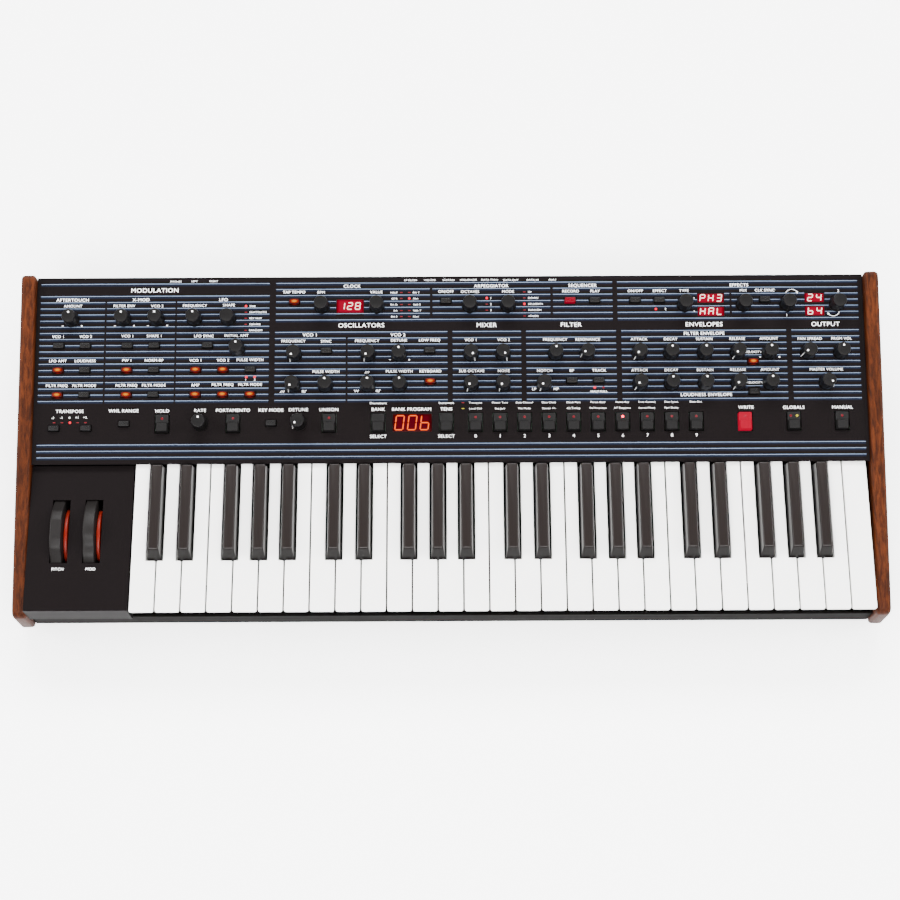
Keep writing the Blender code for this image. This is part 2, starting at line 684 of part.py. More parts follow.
def build():
    clear_scene()
    parts = new_collection("synthesizer")
    cutters = new_collection("cutters")
    walnut = make_material("walnut", (0.20, 0.075, 0.025), 0.45)
    steel = make_material("black_steel", (0.026, 0.023, 0.023), 0.5)
    zinc = make_material("zinc_plate", (0.55, 0.56, 0.58), 0.4, 0.9)
    board = make_material("board", (0.02, 0.02, 0.02), 0.5)
    ivory = make_material("white_key", (0.86, 0.85, 0.83), 0.3)
    ebony = make_material("black_key", (0.02, 0.018, 0.018), 0.25)
    knob = make_material("knob", (0.015, 0.015, 0.015), 0.35)
    ruby = make_material("lit_cap", (0.9, 0.02, 0.08), 0.3)
    wheel = make_material("wheel", (0.03, 0.028, 0.028), 0.4)

    wooden_end("left_wood_end", -1, parts, walnut)
    wooden_end("right_wood_end", 1, parts, walnut)
    chassis_pan(parts, cutters, steel)
    control_panel(parts, cutters, steel)
    control_board(parts, cutters, board)
    master_volume_knob(parts, knob)
    write_button(parts, ruby)
    keybed_frame(parts, cutters, zinc)
    wheel_panel(parts, cutters, steel)
    performance_wheel("pitch_wheel", PITCH_X, -80.0, 80.0, parts, cutters, wheel)
    performance_wheel("mod_wheel", MOD_X, -120.0, 50.0, parts, cutters, wheel)
    keyboard(parts, cutters, ivory, ebony)


build()
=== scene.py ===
"""The looks of a 49-key synthesizer with wooden ends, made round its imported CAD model.

The file is laid out as an add-on: property groups hold the sizes and colours, one operator makes
each group of pieces, and a sidebar panel lists them. Lengths are millimetres unless a name says
otherwise. Pieces on the sloping control panel are drawn in the panel's own frame: x along the
keyboard, t up the slope from the front lip, and n out of the panel's face.
"""

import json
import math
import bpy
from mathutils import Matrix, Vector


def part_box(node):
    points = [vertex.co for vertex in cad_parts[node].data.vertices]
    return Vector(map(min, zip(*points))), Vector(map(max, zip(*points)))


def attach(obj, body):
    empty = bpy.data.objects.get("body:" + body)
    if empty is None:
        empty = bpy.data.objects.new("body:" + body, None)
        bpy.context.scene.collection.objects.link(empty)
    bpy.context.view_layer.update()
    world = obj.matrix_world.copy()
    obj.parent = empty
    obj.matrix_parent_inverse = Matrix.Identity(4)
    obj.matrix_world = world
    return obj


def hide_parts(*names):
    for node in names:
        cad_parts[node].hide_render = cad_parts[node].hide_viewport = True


bl_info = {
    "name": "Synthesizer Looks",
    "version": (1, 0, 0),
    "blender": (4, 5, 0),
    "location": "View3D > Sidebar > Synthesizer",
    "description": "Makes the visible pieces, materials and stage of a 49-key synthesizer",
    "category": "Object",
}

from types import SimpleNamespace

import bpy
import numpy as np
from mathutils import Euler, Matrix

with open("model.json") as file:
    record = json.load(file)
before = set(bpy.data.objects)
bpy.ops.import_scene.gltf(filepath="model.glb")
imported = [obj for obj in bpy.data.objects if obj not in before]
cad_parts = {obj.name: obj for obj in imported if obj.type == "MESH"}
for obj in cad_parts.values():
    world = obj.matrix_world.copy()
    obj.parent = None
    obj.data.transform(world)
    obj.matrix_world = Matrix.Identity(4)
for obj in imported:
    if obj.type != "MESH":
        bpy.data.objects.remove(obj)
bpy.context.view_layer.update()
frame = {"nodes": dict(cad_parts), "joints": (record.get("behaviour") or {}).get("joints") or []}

MM = 0.001
TAU = 2.0 * math.pi
NODES = frame["nodes"]
JOINTS = {joint["name"]: joint for joint in frame["joints"]}


def box_mm(node):
    """The lowest and highest corner of a CAD node in millimetres."""
    low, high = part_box(node)
    return np.array(low) / MM, np.array(high) / MM


# The panel's frame: the write button slides straight into the panel, so its axis gives the slope.
PRESS_AXIS = JOINTS["button_write_press"]["axis"]
SLOPE = math.atan2(PRESS_AXIS[1], -PRESS_AXIS[2])
SHEET_THICKNESS = 1.6
LIP_Y = box_mm("control_panel")[0][1]
LIP_Z = box_mm("control_panel")[0][2] + SHEET_THICKNESS * math.cos(SLOPE)

# The printed stripes are the grid that the controls sit on.
STRIPE_START = 6.9
STRIPE_PITCH = 5.85
PRINT_START = 6.5
PRINT_PITCH = 5.94
BOTTOM_ROW = 5.35
TRANSPOSE_ROW = 4.65


def stripe(row):
    """Distance t up the panel of a stripe number."""
    return STRIPE_START + STRIPE_PITCH * row


def printed(row):
    """Distance t of a printed stripe: the print is a little wider spaced than the controls' grid."""
    return PRINT_START + PRINT_PITCH * row


# ---------------------------------------------------------------------------------------------
# Controls. Knobs: name, x, and the hour that the pointer shows, or None for an endless encoder.
# ---------------------------------------------------------------------------------------------
ENVELOPE_XS = (177.5, 207.1, 238.8, 269.7, 299.6)
ENVELOPE_KNOBS = (("attack", 7.3), ("decay", 12), ("sustain", 12), ("release", 7.3), ("amount", 12))


def envelope_knobs(prefix):
    """The knobs of one envelope, named after it."""
    return tuple((f"{prefix}_{word}", x, hour) for x, (word, hour) in zip(ENVELOPE_XS, ENVELOPE_KNOBS))


KNOBS = {
    22.5: (
        ("aftertouch_amount", -356.8, 12),
        ("cross_mod_envelope", -307.6, 12),
        ("cross_mod_oscillator", -276.4, 12),
        ("slow_oscillator_rate", -240.9, 12),
        ("slow_oscillator_shape", -209.1, None),
    ),
    24.5: (
        ("clock_tempo", -121.0, None),
        ("clock_value", -69.0, None),
        ("arpeggiator_octaves", 18.6, None),
        ("arpeggiator_mode", 54.6, None),
        ("effect_type", 221.2, None),
        ("effect_mix", 276.9, None),
        ("effect_first", 318.1, None),
        ("effect_second", 364.9, None),
    ),
    17.5: (("slow_oscillator_amount", -200.1, 12),),
    16.5: (
        ("first_oscillator_frequency", -146.5, 7),
        ("second_oscillator_frequency", -77.1, 7),
        ("second_oscillator_detune", -48.2, 12),
        ("mixer_first", 19.5, 5),
        ("mixer_second", 49.5, 5),
        ("filter_frequency", 99.0, 12),
        ("filter_resonance", 128.7, 8),
        ("pan_spread", 335.8, 8),
        ("program_volume", 366.7, 12),
    )
    + envelope_knobs("filter_envelope"),
    11.5: (
        ("first_oscillator_shape", -147.7, 7),
        ("first_oscillator_width", -117.0, 12),
        ("second_oscillator_shape", -77.4, 12),
        ("second_oscillator_width", -47.6, 12),
        ("mixer_sub", 19.5, 7),
        ("mixer_noise", 49.5, 7),
        ("filter_notch", 87.7, 7),
        ("master_volume", 352.1, 4),
    )
    + envelope_knobs("loudness_envelope"),
    BOTTOM_ROW: (("glide_rate", -233.8, 12), ("unison_detune", -142.0, 7.5)),
}

# Small buttons: name, x, and whether the cap is "dark", "amber" (lit) or "ruby" (lit dimly).
MODULATION_XS = (-368.2, -343.1, -303.7, -278.4, -239.1, -213.5, -187.7)
MODULATION_WORDS = ("pressure_1", "pressure_2", "cross_1", "cross_2", "slow_1", "slow_2", "slow_3")


def modulation_buttons(row_name, lit):
    """One row of destination buttons; lit is a string of 1 for amber and 0 for dark."""
    caps = ("amber" if flag == "1" else "dark" for flag in lit)
    columns = zip(MODULATION_WORDS, MODULATION_XS, caps)
    return tuple((f"{word}_{row_name}", x, cap) for word, x, cap in columns)


SMALL_BUTTONS = {
    18.15: modulation_buttons("upper", "0000")[:4] + (("slow_sync", -228.2, "dark"),),
    14.15: modulation_buttons("middle", "1010110"),
    10.1: modulation_buttons("lower", "1010111"),
    25.3: (
        ("tap_tempo", -146.9, "amber"),
        ("arpeggiator_on", -3.8, "dark"),
        ("record", 113.5, "ruby"),
        ("play", 136.6, "dark"),
        ("effects_on", 174.8, "dark"),
        ("effect_select", 197.6, "dark"),
        ("clock_sync", 297.0, "dark"),
    ),
    17.15: (("oscillator_sync", -116.4, "dark"), ("low_frequency", -19.4, "dark")),
    12.1: (("keyboard_track", -18.9, "amber"), ("band_pass", 113.8, "dark"), ("filter_track", 139.0, "dark")),
    15.1: (("filter_velocity", 284.4, "amber"),),
    10.15: (("loudness_velocity", 284.4, "dark"),),
    TRANSPOSE_ROW: (("transpose_down", -370.4, "dark"), ("transpose_up", -340.5, "dark")),
    BOTTOM_ROW: (
        ("wheel_range", -305.1, "dark"),
        ("key_mode", -167.7, "dark"),
    ),
}

# Large buttons: name, x, and the lamps on the cap as (x offset, colour).
NUMBER_START = 23.4
NUMBER_PITCH = 22.9
ONE_LAMP = ((0.0, "red_off"),)
LARGE_BUTTONS = (
    ("hold", -269.4, ONE_LAMP),
    ("portamento", -203.2, ONE_LAMP),
    ("unison", -113.5, ONE_LAMP),
    ("bank", -67.7, ()),
    ("tens", -3.9, ()),
    ("write", 275.3, ((0.0, "red_dim"),)),
    ("globals", 320.6, ((-2.9, "red_off"), (2.9, "yellow_off"))),
    ("manual", 365.6, ONE_LAMP),
) + tuple(
    (f"number_{n}", NUMBER_START + NUMBER_PITCH * n, ((0.0, "red_hot" if n == 6 else "red_off"),))
    for n in range(10)
)

# Displays: name, x, stripe row, width, height, characters, and their height, width and pitch.
DISPLAYS = (
    ("tempo_display", -94.4, 24.55, 26.0, 13.5, "128", (6.4, 4.3, 7.4)),
    ("effect_display_upper", 246.4, 25.6, 25.3, 9.2, "PH3", (6.4, 4.3, 7.9)),
    ("effect_display_lower", 246.4, 23.4, 25.3, 9.2, "HAL", (6.4, 4.3, 7.9)),
    ("value_display_upper", 344.3, 25.6, 18.6, 9.2, "24", (6.4, 4.3, 8.2)),
    ("value_display_lower", 344.3, 23.4, 18.6, 9.2, "b4", (6.4, 4.3, 8.2)),
    ("program_display", -35.8, BOTTOM_ROW, 37.0, 17.5, "00b", (13.4, 7.4, 11.8)),
)

# Single lamps: x, stripe row, kind.
LAMPS = (
    tuple((-192.6, 24.6 - i, "red_on" if i == 0 else "bar_off") for i in range(5))
    + tuple((-45.9, 26.75 - i, "bar_off") for i in range(5))
    + tuple((-38.4, 26.75 - i, "red_on" if i == 1 else "bar_off") for i in range(5))
    + tuple((34.8, 25.75 - i, "red_on" if i == 0 else "bar_off") for i in range(3))
    + tuple((70.3, 26.75 - i, "red_on" if i == 2 else "bar_off") for i in range(5))
    + ((194.3, 23.8, "red_on"), (135.3, 10.95, "red_on"), (143.4, 10.95, "red_off"))
    + ((-191.4, 12.93, "red_on"), (-183.6, 12.93, "red_on"))
    + ((11.7, 8.55, "bar_off"), (11.7, 7.6, "yellow_off"))
    + tuple((-370.3 + 7.35 * i, 5.6, "red_on" if i == 2 else "bar_off") for i in range(5))
)


# ---------------------------------------------------------------------------------------------
# Property groups
# ---------------------------------------------------------------------------------------------
def colour_property(name, description, default):
    """A linear colour that a user can pick."""
    return bpy.props.FloatVectorProperty(
        name=name, description=description, default=default, subtype="COLOR", size=3, min=0.0, max=1.0
    )


def length_property(name, description, default):
    """A length whose default is given in millimetres. Blender keeps it in metres."""
    return bpy.props.FloatProperty(
        name=name, description=description, default=default * MM, min=0.01 * MM, precision=5, unit="LENGTH"
    )


class SynthSizes(bpy.types.PropertyGroup):
    """Sizes of the pieces."""

    knob_radius: length_property("Knob radius", "Radius of the knob's cap at its top", 6.3)
    knob_skirt: length_property("Knob skirt", "Radius of the knob's skirt", 7.6)
    knob_height: length_property("Knob height", "Height of a knob over the panel", 17.5)
    button_height: length_property("Button height", "How far the small buttons stand proud", 3.0)
    stripe_width: length_property("Stripe width", "Width of a printed stripe", 0.56)
    key_edge: length_property("Key edge", "Rounding of the white keys' upper edges", 0.9)
    wood_edge: length_property("Wood edge", "Rounding of the wooden ends' edges", 3.4)


class SynthColours(bpy.types.PropertyGroup):
    """Linear colours of the finishes."""

    walnut: colour_property("Walnut", "Middle colour of the oiled wood", (0.040, 0.0092, 0.0022))
    walnut_dark: colour_property("Walnut grain", "Colour of the dark grain lines", (0.0115, 0.0026, 0.0008))
    steel: colour_property("Black steel", "Powder coat of the panel and pan", (0.0031, 0.0023, 0.0024))
    stripe: colour_property("Stripe", "Light blue print", (0.112, 0.146, 0.212))
    navy: colour_property("Navy", "Dark blue print beside the stripes", (0.0028, 0.0042, 0.0098))
    ivory: colour_property("White key", "Plastic of the white keys", (0.84, 0.83, 0.815))
    ebony: colour_property("Black key", "Plastic of the black keys", (0.0062, 0.0046, 0.0043))
    orange: colour_property("Wheel disc", "Translucent disc beside each wheel", (0.085, 0.0045, 0.0016))
    floor: colour_property("Floor", "Pale studio floor", (0.93, 0.93, 0.93))


def sizes():
    """The sizes by name, in millimetres."""
    group = bpy.context.scene.synth_sizes
    return SimpleNamespace(**{name: getattr(group, name) / MM for name in SynthSizes.__annotations__})


def colours():
    """The group of colours."""
    return bpy.context.scene.synth_colours


# ---------------------------------------------------------------------------------------------
# Shader expressions
# ---------------------------------------------------------------------------------------------
class Wire:
    """A node socket that numbers and other sockets can be combined with, each adding a Math node."""

    def __init__(self, graph, socket):
        self.graph = graph
        self.socket = socket

    def join(self, operation, *values, clamp=False):
        """A Math node of this operation on the values."""
        return self.graph.node("ShaderNodeMath", {"operation": operation, "use_clamp": clamp}, *values)

    def __add__(self, other):
        return self.join("ADD", self, other)

    __radd__ = __add__

    def __sub__(self, other):
        return self.join("SUBTRACT", self, other)

    def __rsub__(self, other):
        return self.join("SUBTRACT", other, self)

    def __mul__(self, other):
        return self.join("MULTIPLY", self, other)

    __rmul__ = __mul__

    def __truediv__(self, other):
        return self.join("DIVIDE", self, other)

    def __pow__(self, other):
        return self.join("POWER", self, other)

    def __abs__(self):
        return self.join("ABSOLUTE", self)

    def clamp(self):
        """The value held between 0 and 1."""
        return self.join("ADD", self, 0.0, clamp=True)

    def ramp(self, low, high):
        """0 below low and 1 above high, smooth between."""
        settings = {"interpolation_type": "SMOOTHSTEP"}
        return self.graph.node("ShaderNodeMapRange", settings, self, low, high, 0.0, 1.0)


class Graph:
    """A material's nodes, built from expressions."""

    def __init__(self, name):
        self.material = bpy.data.materials.new(name)
        self.material.use_nodes = True
        self.tree = self.material.node_tree
        self.shader = self.tree.nodes["Principled BSDF"]

    def node(self, kind, settings=None, *values, output=0):
        """A node of a type, its settings, and the values or links of its first sockets."""
        made = self.tree.nodes.new(kind)
        for key, value in (settings or {}).items():
            if key == "ramp":
                self.set_ramp(made.color_ramp, value)
            else:
                setattr(made, key, value)
        open_sockets = [socket for socket in made.inputs if socket.enabled]
        for socket, value in zip(open_sockets, values):
            self.feed(socket, value)
        outputs = [socket for socket in made.outputs if socket.enabled]
        return Wire(self, outputs[output])

    def set_ramp(self, ramp, stops):
        """Give a colour ramp its stops, as (position, colour)."""
        while len(ramp.elements) < len(stops):
            ramp.elements.new(1.0)
        for element, (position, colour) in zip(ramp.elements, stops):
            element.position = position
            element.color = (*colour, 1.0)

    def feed(self, socket, value):
        """Link a wire to a socket, or set the socket to a plain value."""
        if isinstance(value, Wire):
            self.tree.links.new(value.socket, socket)
        elif value is not None:
            kind = socket.bl_idname
            if kind == "NodeSocketColor":
                value = (*value, 1.0)[:4]
            socket.default_value = value

    def place(self, scale=(1.0, 1.0, 1.0), spot=(0.0, 0.0, 0.0)):
        """Object coordinates in millimetres, scaled."""
        coordinate = self.node("ShaderNodeTexCoord", output=3)
        factors = tuple(1000.0 * factor for factor in scale)
        return self.node("ShaderNodeMapping", None, coordinate, spot, (0.0, 0.0, 0.0), factors)

    def noise(self, place, scale, detail=3.0, roughness=0.55, distortion=0.0):
        """Noise from 0 to 1 at a place."""
        settings = {"noise_dimensions": "3D"}
        return self.node("ShaderNodeTexNoise", settings, place, scale, detail, roughness, 2.0, distortion)

    def mix(self, factor, first, second):
        """A colour between two colours."""
        made = self.tree.nodes.new("ShaderNodeMix")
        made.data_type = "RGBA"
        self.feed(made.inputs["Factor"], factor)
        self.feed(made.inputs[6], first)
        self.feed(made.inputs[7], second)
        return Wire(self, made.outputs[2])

    def bump(self, height, strength, distance_mm):
        """A normal bent by a height, with its depth in millimetres."""
        made = self.tree.nodes.new("ShaderNodeBump")
        made.inputs["Strength"].default_value = strength
        made.inputs["Distance"].default_value = distance_mm * MM
        self.feed(made.inputs["Height"], height)
        return Wire(self, made.outputs["Normal"])

    def finish(self, **sockets):
        """Feed the shader's sockets, named with underscores for spaces, and give the material."""
        for name, value in sockets.items():
            self.feed(self.shader.inputs[name.replace("_", " ")], value)
        return self.material


MATERIALS = {}


def material(make):
    """Keep one copy of each material: its function's name is its key."""

    def once(*values):
        key = (make.__name__, *values)
        if key not in MATERIALS:
            MATERIALS[key] = make(*values)
        return MATERIALS[key]

    return once


@material
def oiled_walnut():
    """Long grain along the depth: stretched noise for streaks, fine pores, and slow tone changes."""
    g = Graph("oiled_walnut")
    colour = colours()
    streaks = g.noise(g.place((0.35, 0.012, 0.35)), 1.0, 6.0, 0.62, 0.6)
    fine = g.noise(g.place((2.6, 0.05, 2.6)), 1.0, 4.0, 0.6)
    pores = g.noise(g.place((5.0, 0.35, 5.0)), 1.0, 2.0, 0.5)
    tone = g.noise(g.place((0.02, 0.006, 0.02)), 1.0, 2.0, 0.5)
    grain = (streaks * 0.7 + fine * 0.3).ramp(0.36, 0.66)
    pore = pores.ramp(0.60, 0.72)
    warm = g.mix(tone.ramp(0.35, 0.65), tuple(colour.walnut), tuple(c * 1.35 for c in colour.walnut))
    wood = g.mix(1.0 - grain, warm, tuple(colour.walnut_dark))
    wood = g.mix(pore * 0.45, wood, tuple(c * 0.4 for c in colour.walnut_dark))
    normal = g.bump(grain * 0.4 + (1.0 - pore) * 0.6, 0.35, 0.12)
    rough = 0.42 + 0.2 * fine
    return g.finish(Base_Color=wood, Roughness=rough, Normal=normal, Specular_IOR_Level=0.05)


@material
def powder_coat():
    """Fine matte powder coat: a tight grain in the bump and slow changes of sheen."""
    g = Graph("powder_coat")
    steel = tuple(colours().steel)
    grain = g.noise(g.place((4.0, 4.0, 4.0)), 1.0, 3.0, 0.6)
    cloud = g.noise(g.place((0.02, 0.02, 0.02)), 1.0, 3.0, 0.5)
    base = g.mix(grain.ramp(0.3, 0.8), tuple(c * 0.8 for c in steel), tuple(c * 1.35 for c in steel))
    rough = 0.46 + 0.10 * cloud + 0.06 * grain
    normal = g.bump(grain, 0.22, 0.05)
    return g.finish(Base_Color=base, Roughness=rough, Normal=normal, Specular_IOR_Level=0.022)


@material
def rail_coat():
    """The same coat where it faces the player, made darker as painted shade."""
    g = Graph("rail_coat")
    grain = g.noise(g.place((3.5, 3.5, 3.5)), 1.0, 3.0, 0.6)
    # Painted shade: about half the powder coat's colour, so the pan reads darker than the panel under the
    # same lights.
    base = g.mix(grain, (0.0014, 0.0012, 0.0011), (0.0026, 0.0022, 0.0020))
    return g.finish(
        Base_Color=base, Roughness=0.42 + 0.1 * grain,
        Normal=g.bump(grain, 0.2, 0.05), Specular_IOR_Level=0.004,
    )


@material
def dark_steel():
    """Blackened steel with a faint spangle."""
    g = Graph("dark_steel")
    spangle = g.noise(g.place((0.12, 0.12, 0.12)), 1.0, 2.0, 0.7, 1.5)
    base = g.mix(spangle, (0.0022, 0.0020, 0.0019), (0.0044, 0.0040, 0.0038))
    return g.finish(Base_Color=base, Roughness=0.5 + 0.15 * spangle, Specular_IOR_Level=0.05)


@material
def circuit_board():
    """Dark green solder mask over a faint weave."""
    g = Graph("circuit_board")
    weave = g.noise(g.place((1.2, 1.2, 1.2)), 1.0, 2.0, 0.5)
    return g.finish(Base_Color=g.mix(weave, (0.008, 0.022, 0.012), (0.014, 0.040, 0.020)), Roughness=0.4)


@material
def print_ink(kind):
    """Silk-screen ink: white, light blue or navy, slightly uneven in tone."""
    g = Graph("print_" + kind)
    tones = {"white": (0.86, 0.86, 0.86), "blue": tuple(colours().stripe), "navy": tuple(colours().navy)}
    tone = tones[kind]
    uneven = g.noise(g.place((0.6, 0.6, 0.6)), 1.0, 3.0, 0.6)
    base = g.mix(uneven.ramp(0.3, 0.7), tuple(c * 0.9 for c in tone), tone)
    return g.finish(Base_Color=base, Roughness=0.6 + 0.08 * uneven, Specular_IOR_Level=0.05)


@material
def ivory_plastic():
    """White key plastic: a satin gloss with barely visible handling marks."""
    g = Graph("ivory_plastic")
    ivory = tuple(colours().ivory)
    cloud = g.noise(g.place((0.03, 0.03, 0.03)), 1.0, 3.0, 0.5)
    marks = g.noise(g.place((0.8, 0.15, 0.8)), 1.0, 4.0, 0.7)
    base = g.mix(cloud.ramp(0.3, 0.7), tuple(c * 0.975 for c in ivory), ivory)
    return g.finish(Base_Color=base, Roughness=0.26 + 0.12 * marks, Coat_Weight=0.15, Specular_IOR_Level=0.5)


@material
def ebony_plastic():
    """Black key plastic: satin, with fine lengthwise brushing in its gloss, and painted shade on faces that
    do not look up.
    """
    g = Graph("ebony_plastic")
    ebony = tuple(colours().ebony)
    brush = g.noise(g.place((1.6, 0.05, 1.6)), 1.0, 4.0, 0.6)
    facing = g.node("ShaderNodeNewGeometry", None)
    facing = g.node("ShaderNodeSeparateXYZ", None, Wire(g, facing.socket.node.outputs[1]))
    # Painted shade: faces whose normal does not point up get a quarter of the colour, so the sides and the
    # sloping nose read dark.
    painted_side_shade_mask = Wire(g, facing.socket.node.outputs[2]).ramp(0.35, 0.95)
    base = g.mix(brush, ebony, tuple(c * 1.25 for c in ebony))
    base = g.mix(painted_side_shade_mask, tuple(c * 0.25 for c in ebony), base)
    rough = 0.26 + 0.05 * brush
    normal = g.bump(brush, 0.04, 0.05)
    return g.finish(Base_Color=base, Roughness=rough, Normal=normal, Specular_IOR_Level=0.13)


@material
def knob_plastic():
    """Soft-touch black plastic with a fine moulded grain."""
    g = Graph("knob_plastic")
    grain = g.noise(g.place((5.0, 5.0, 5.0)), 1.0, 3.0, 0.6)
    base = g.mix(grain, (0.0018, 0.0016, 0.0016), (0.0032, 0.0029, 0.0029))
    rough = 0.34 + 0.12 * grain
    normal = g.bump(grain, 0.15, 0.05)
    return g.finish(Base_Color=base, Roughness=rough, Normal=normal, Specular_IOR_Level=0.11)


@material
def button_plastic():
    """Dark grey button caps, a little lighter than the knobs."""
    g = Graph("button_plastic")
    grain = g.noise(g.place((4.0, 4.0, 4.0)), 1.0, 3.0, 0.6)
    base = g.mix(grain, (0.0028, 0.0026, 0.0026), (0.0042, 0.0039, 0.0039))
    rough = 0.38 + 0.12 * grain
    normal = g.bump(grain, 0.15, 0.05)
    return g.finish(Base_Color=base, Roughness=rough, Normal=normal, Specular_IOR_Level=0.11)


@material
def wheel_plastic():
    """Satin black wheel rim with fine wear."""
    g = Graph("wheel_plastic")
    wear = g.noise(g.place((0.5, 0.5, 0.5)), 1.0, 4.0, 0.65)
    base = g.mix(wear, (0.0030, 0.0025, 0.0024), (0.0054, 0.0045, 0.0043))
    rough = 0.42 + 0.14 * wear
    return g.finish(Base_Color=base, Roughness=rough, Normal=g.bump(wear, 0.1, 0.05), Specular_IOR_Level=0.10)


@material
def orange_acrylic():
    """The coloured disc beside a wheel."""
    g = Graph("orange_acrylic")
    cloud = g.noise(g.place((0.2, 0.2, 0.2)), 1.0, 3.0, 0.5)
    orange = tuple(colours().orange)
    base = g.mix(cloud, orange, tuple(min(1.0, c * 1.25) for c in orange))
    return g.finish(Base_Color=base, Roughness=0.35 + 0.1 * cloud, Specular_IOR_Level=0.1)


@material
def lit_amber(x, y):
    """A cap lit from inside: yellow over the lamp, falling to red at the cap's ends."""
    g = Graph("lit_amber")
    centre = g.node("ShaderNodeVectorMath", {"operation": "SUBTRACT"}, g.place(), (x, y, 0.0))
    across = g.node("ShaderNodeSeparateXYZ", None, centre)
    along = Wire(g, across.socket.node.outputs[1])
    far = ((across * across) / 21.0 + (along * along) / 5.0) ** 0.5
    edge = 1.0 - far.ramp(0.62, 1.15)
    core = 1.0 - far.ramp(0.10, 0.80)
    glow = g.mix(core, g.mix(edge, (0.004, 0.0, 0.0), (0.30, 0.001, 0.0)), (1.0, 0.36, 0.004))
    return g.finish(
        Base_Color=(0.012, 0.001, 0.0005), Roughness=0.35, Specular_IOR_Level=0.06,
        Emission_Color=glow, Emission_Strength=1.3,
    )


@material
def lamp_plastic(kind):
    """A lamp's lens: dark ruby or yellow when off, with a faint painted glow, and bright when lit."""
    g = Graph("lamp_" + kind)
    # The off kinds keep a faint emission: a painted glow in lenses that are not lit.
    looks = {
        "red_on": ((0.1, 0.0, 0.003), (1.0, 0.004, 0.03), 1.9),
        "red_hot": ((0.2, 0.0, 0.01), (1.0, 0.012, 0.05), 9.0),
        "red_off": ((0.05, 0.001, 0.003), (0.5, 0.0, 0.02), 0.16),
        "red_dim": ((0.12, 0.0, 0.006), (0.6, 0.0, 0.03), 0.25),
        "bar_off": ((0.07, 0.003, 0.005), (0.6, 0.01, 0.03), 0.20),
        "yellow_off": ((0.16, 0.14, 0.006), (0.6, 0.5, 0.02), 0.30),
    }
    base, glow, strength = looks[kind]
    speck = g.noise(g.place((1.5, 1.5, 1.5)), 1.0, 2.0, 0.5)
    tone = g.mix(speck, base, tuple(c * 0.7 for c in base))
    return g.finish(
        Base_Color=tone, Roughness=0.2 + 0.1 * speck, Specular_IOR_Level=0.12,
        Emission_Color=glow, Emission_Strength=strength,
    )


@material
def ruby_cap(strength):
    """A translucent red button cap with light behind it."""
    g = Graph("ruby_cap")
    cloud = g.noise(g.place((0.25, 0.25, 0.25)), 1.0, 3.0, 0.5)
    base = g.mix(cloud, (0.040, 0.0, 0.002), (0.050, 0.0, 0.003))
    glow = g.mix(cloud, (1.0, 0.0, 0.045), (1.0, 0.0, 0.060))
    return g.finish(
        Base_Color=base, Roughness=0.3 + 0.1 * cloud, Specular_IOR_Level=0.06,
        Emission_Color=glow, Emission_Strength=strength,
    )


@material
def display_window(x, y, width, height, strength):
    """A red filter whose glow is strongest round the digits and dies away at the window's edge."""
    g = Graph("display_window")
    place = g.place()
    centre = g.node("ShaderNodeVectorMath", {"operation": "SUBTRACT"}, place, (x, y, 0.0))
    parts = g.node("ShaderNodeSeparateXYZ", None, centre)
    across = abs(parts) / (width / 2)
    along = abs(Wire(g, parts.socket.node.outputs[1])) / (height / 2)
    fade = (1.0 - across.ramp(0.70, 1.02)) * (1.0 - along.ramp(0.62, 1.02))
    glow = g.mix(fade, (0.30, 0.0, 0.012), (1.0, 0.0, 0.060))
    return g.finish(
        Base_Color=(0.004, 0.0, 0.0), Roughness=0.2, Specular_IOR_Level=0.05,
        Emission_Color=glow, Emission_Strength=strength,
    )


@material
def display_digit(kind):
    """A lit segment: hot pink-white, or amber on the large display."""
    g = Graph("display_digit_" + kind)
    hot = {
        "white": ((1.0, 0.60, 0.50), (1.0, 0.72, 0.62)),
        "amber": ((1.0, 0.085, 0.004), (1.0, 0.13, 0.008)),
    }[kind]
    warm = g.noise(g.place((0.6, 0.6, 0.6)), 1.0, 2.0, 0.5)
    glow = g.mix(warm, *hot)
    strength = {"white": 4.0, "amber": 2.1}[kind]
    return g.finish(
        Base_Color=(0.02, 0.002, 0.001), Roughness=0.4, Specular_IOR_Level=0.05,
        Emission_Color=glow, Emission_Strength=strength,
    )


@material
def dark_rubber():
    """Foot and socket rubber."""
    g = Graph("dark_rubber")
    grain = g.noise(g.place((3.0, 3.0, 3.0)), 1.0, 3.0, 0.6)
    base = g.mix(grain, (0.012, 0.012, 0.012), (0.02, 0.02, 0.02))
    return g.finish(Base_Color=base, Roughness=0.7 + 0.1 * grain)


@material
def nickel_plate():
    """Bright nut and contact metal."""
    g = Graph("nickel_plate")
    smear = g.noise(g.place((0.6, 0.6, 0.6)), 1.0, 3.0, 0.5)
    base = g.mix(smear, (0.6, 0.59, 0.57), (0.7, 0.69, 0.67))
    return g.finish(Base_Color=base, Metallic=1.0, Roughness=0.18 + 0.16 * smear)


@material
def studio_floor():
    """A plain pale floor, very slightly mottled."""
    g = Graph("studio_floor")
    cloud = g.noise(g.place((0.004, 0.004, 0.004)), 1.0, 2.0, 0.5)
    pale = tuple(colours().floor)
    tone = g.mix(cloud, pale, tuple(c * 0.99 for c in pale))
    return g.finish(
        Base_Color=tone, Roughness=0.9, Specular_IOR_Level=0.2, Emission_Color=tone, Emission_Strength=1.6
    )


# ---------------------------------------------------------------------------------------------
# Surfaces
# ---------------------------------------------------------------------------------------------
def tilt(points):
    """Points of the panel's frame (x, t, n) in the row frame: lip + t along the slope + n out of it."""
    points = np.asarray(points, float)
    x, t, n = points[..., 0], points[..., 1], points[..., 2]
    y = LIP_Y + t * math.cos(SLOPE) - n * math.sin(SLOPE)
    z = LIP_Z + t * math.sin(SLOPE) + n * math.cos(SLOPE)
    return np.stack([x, y, z], axis=-1)


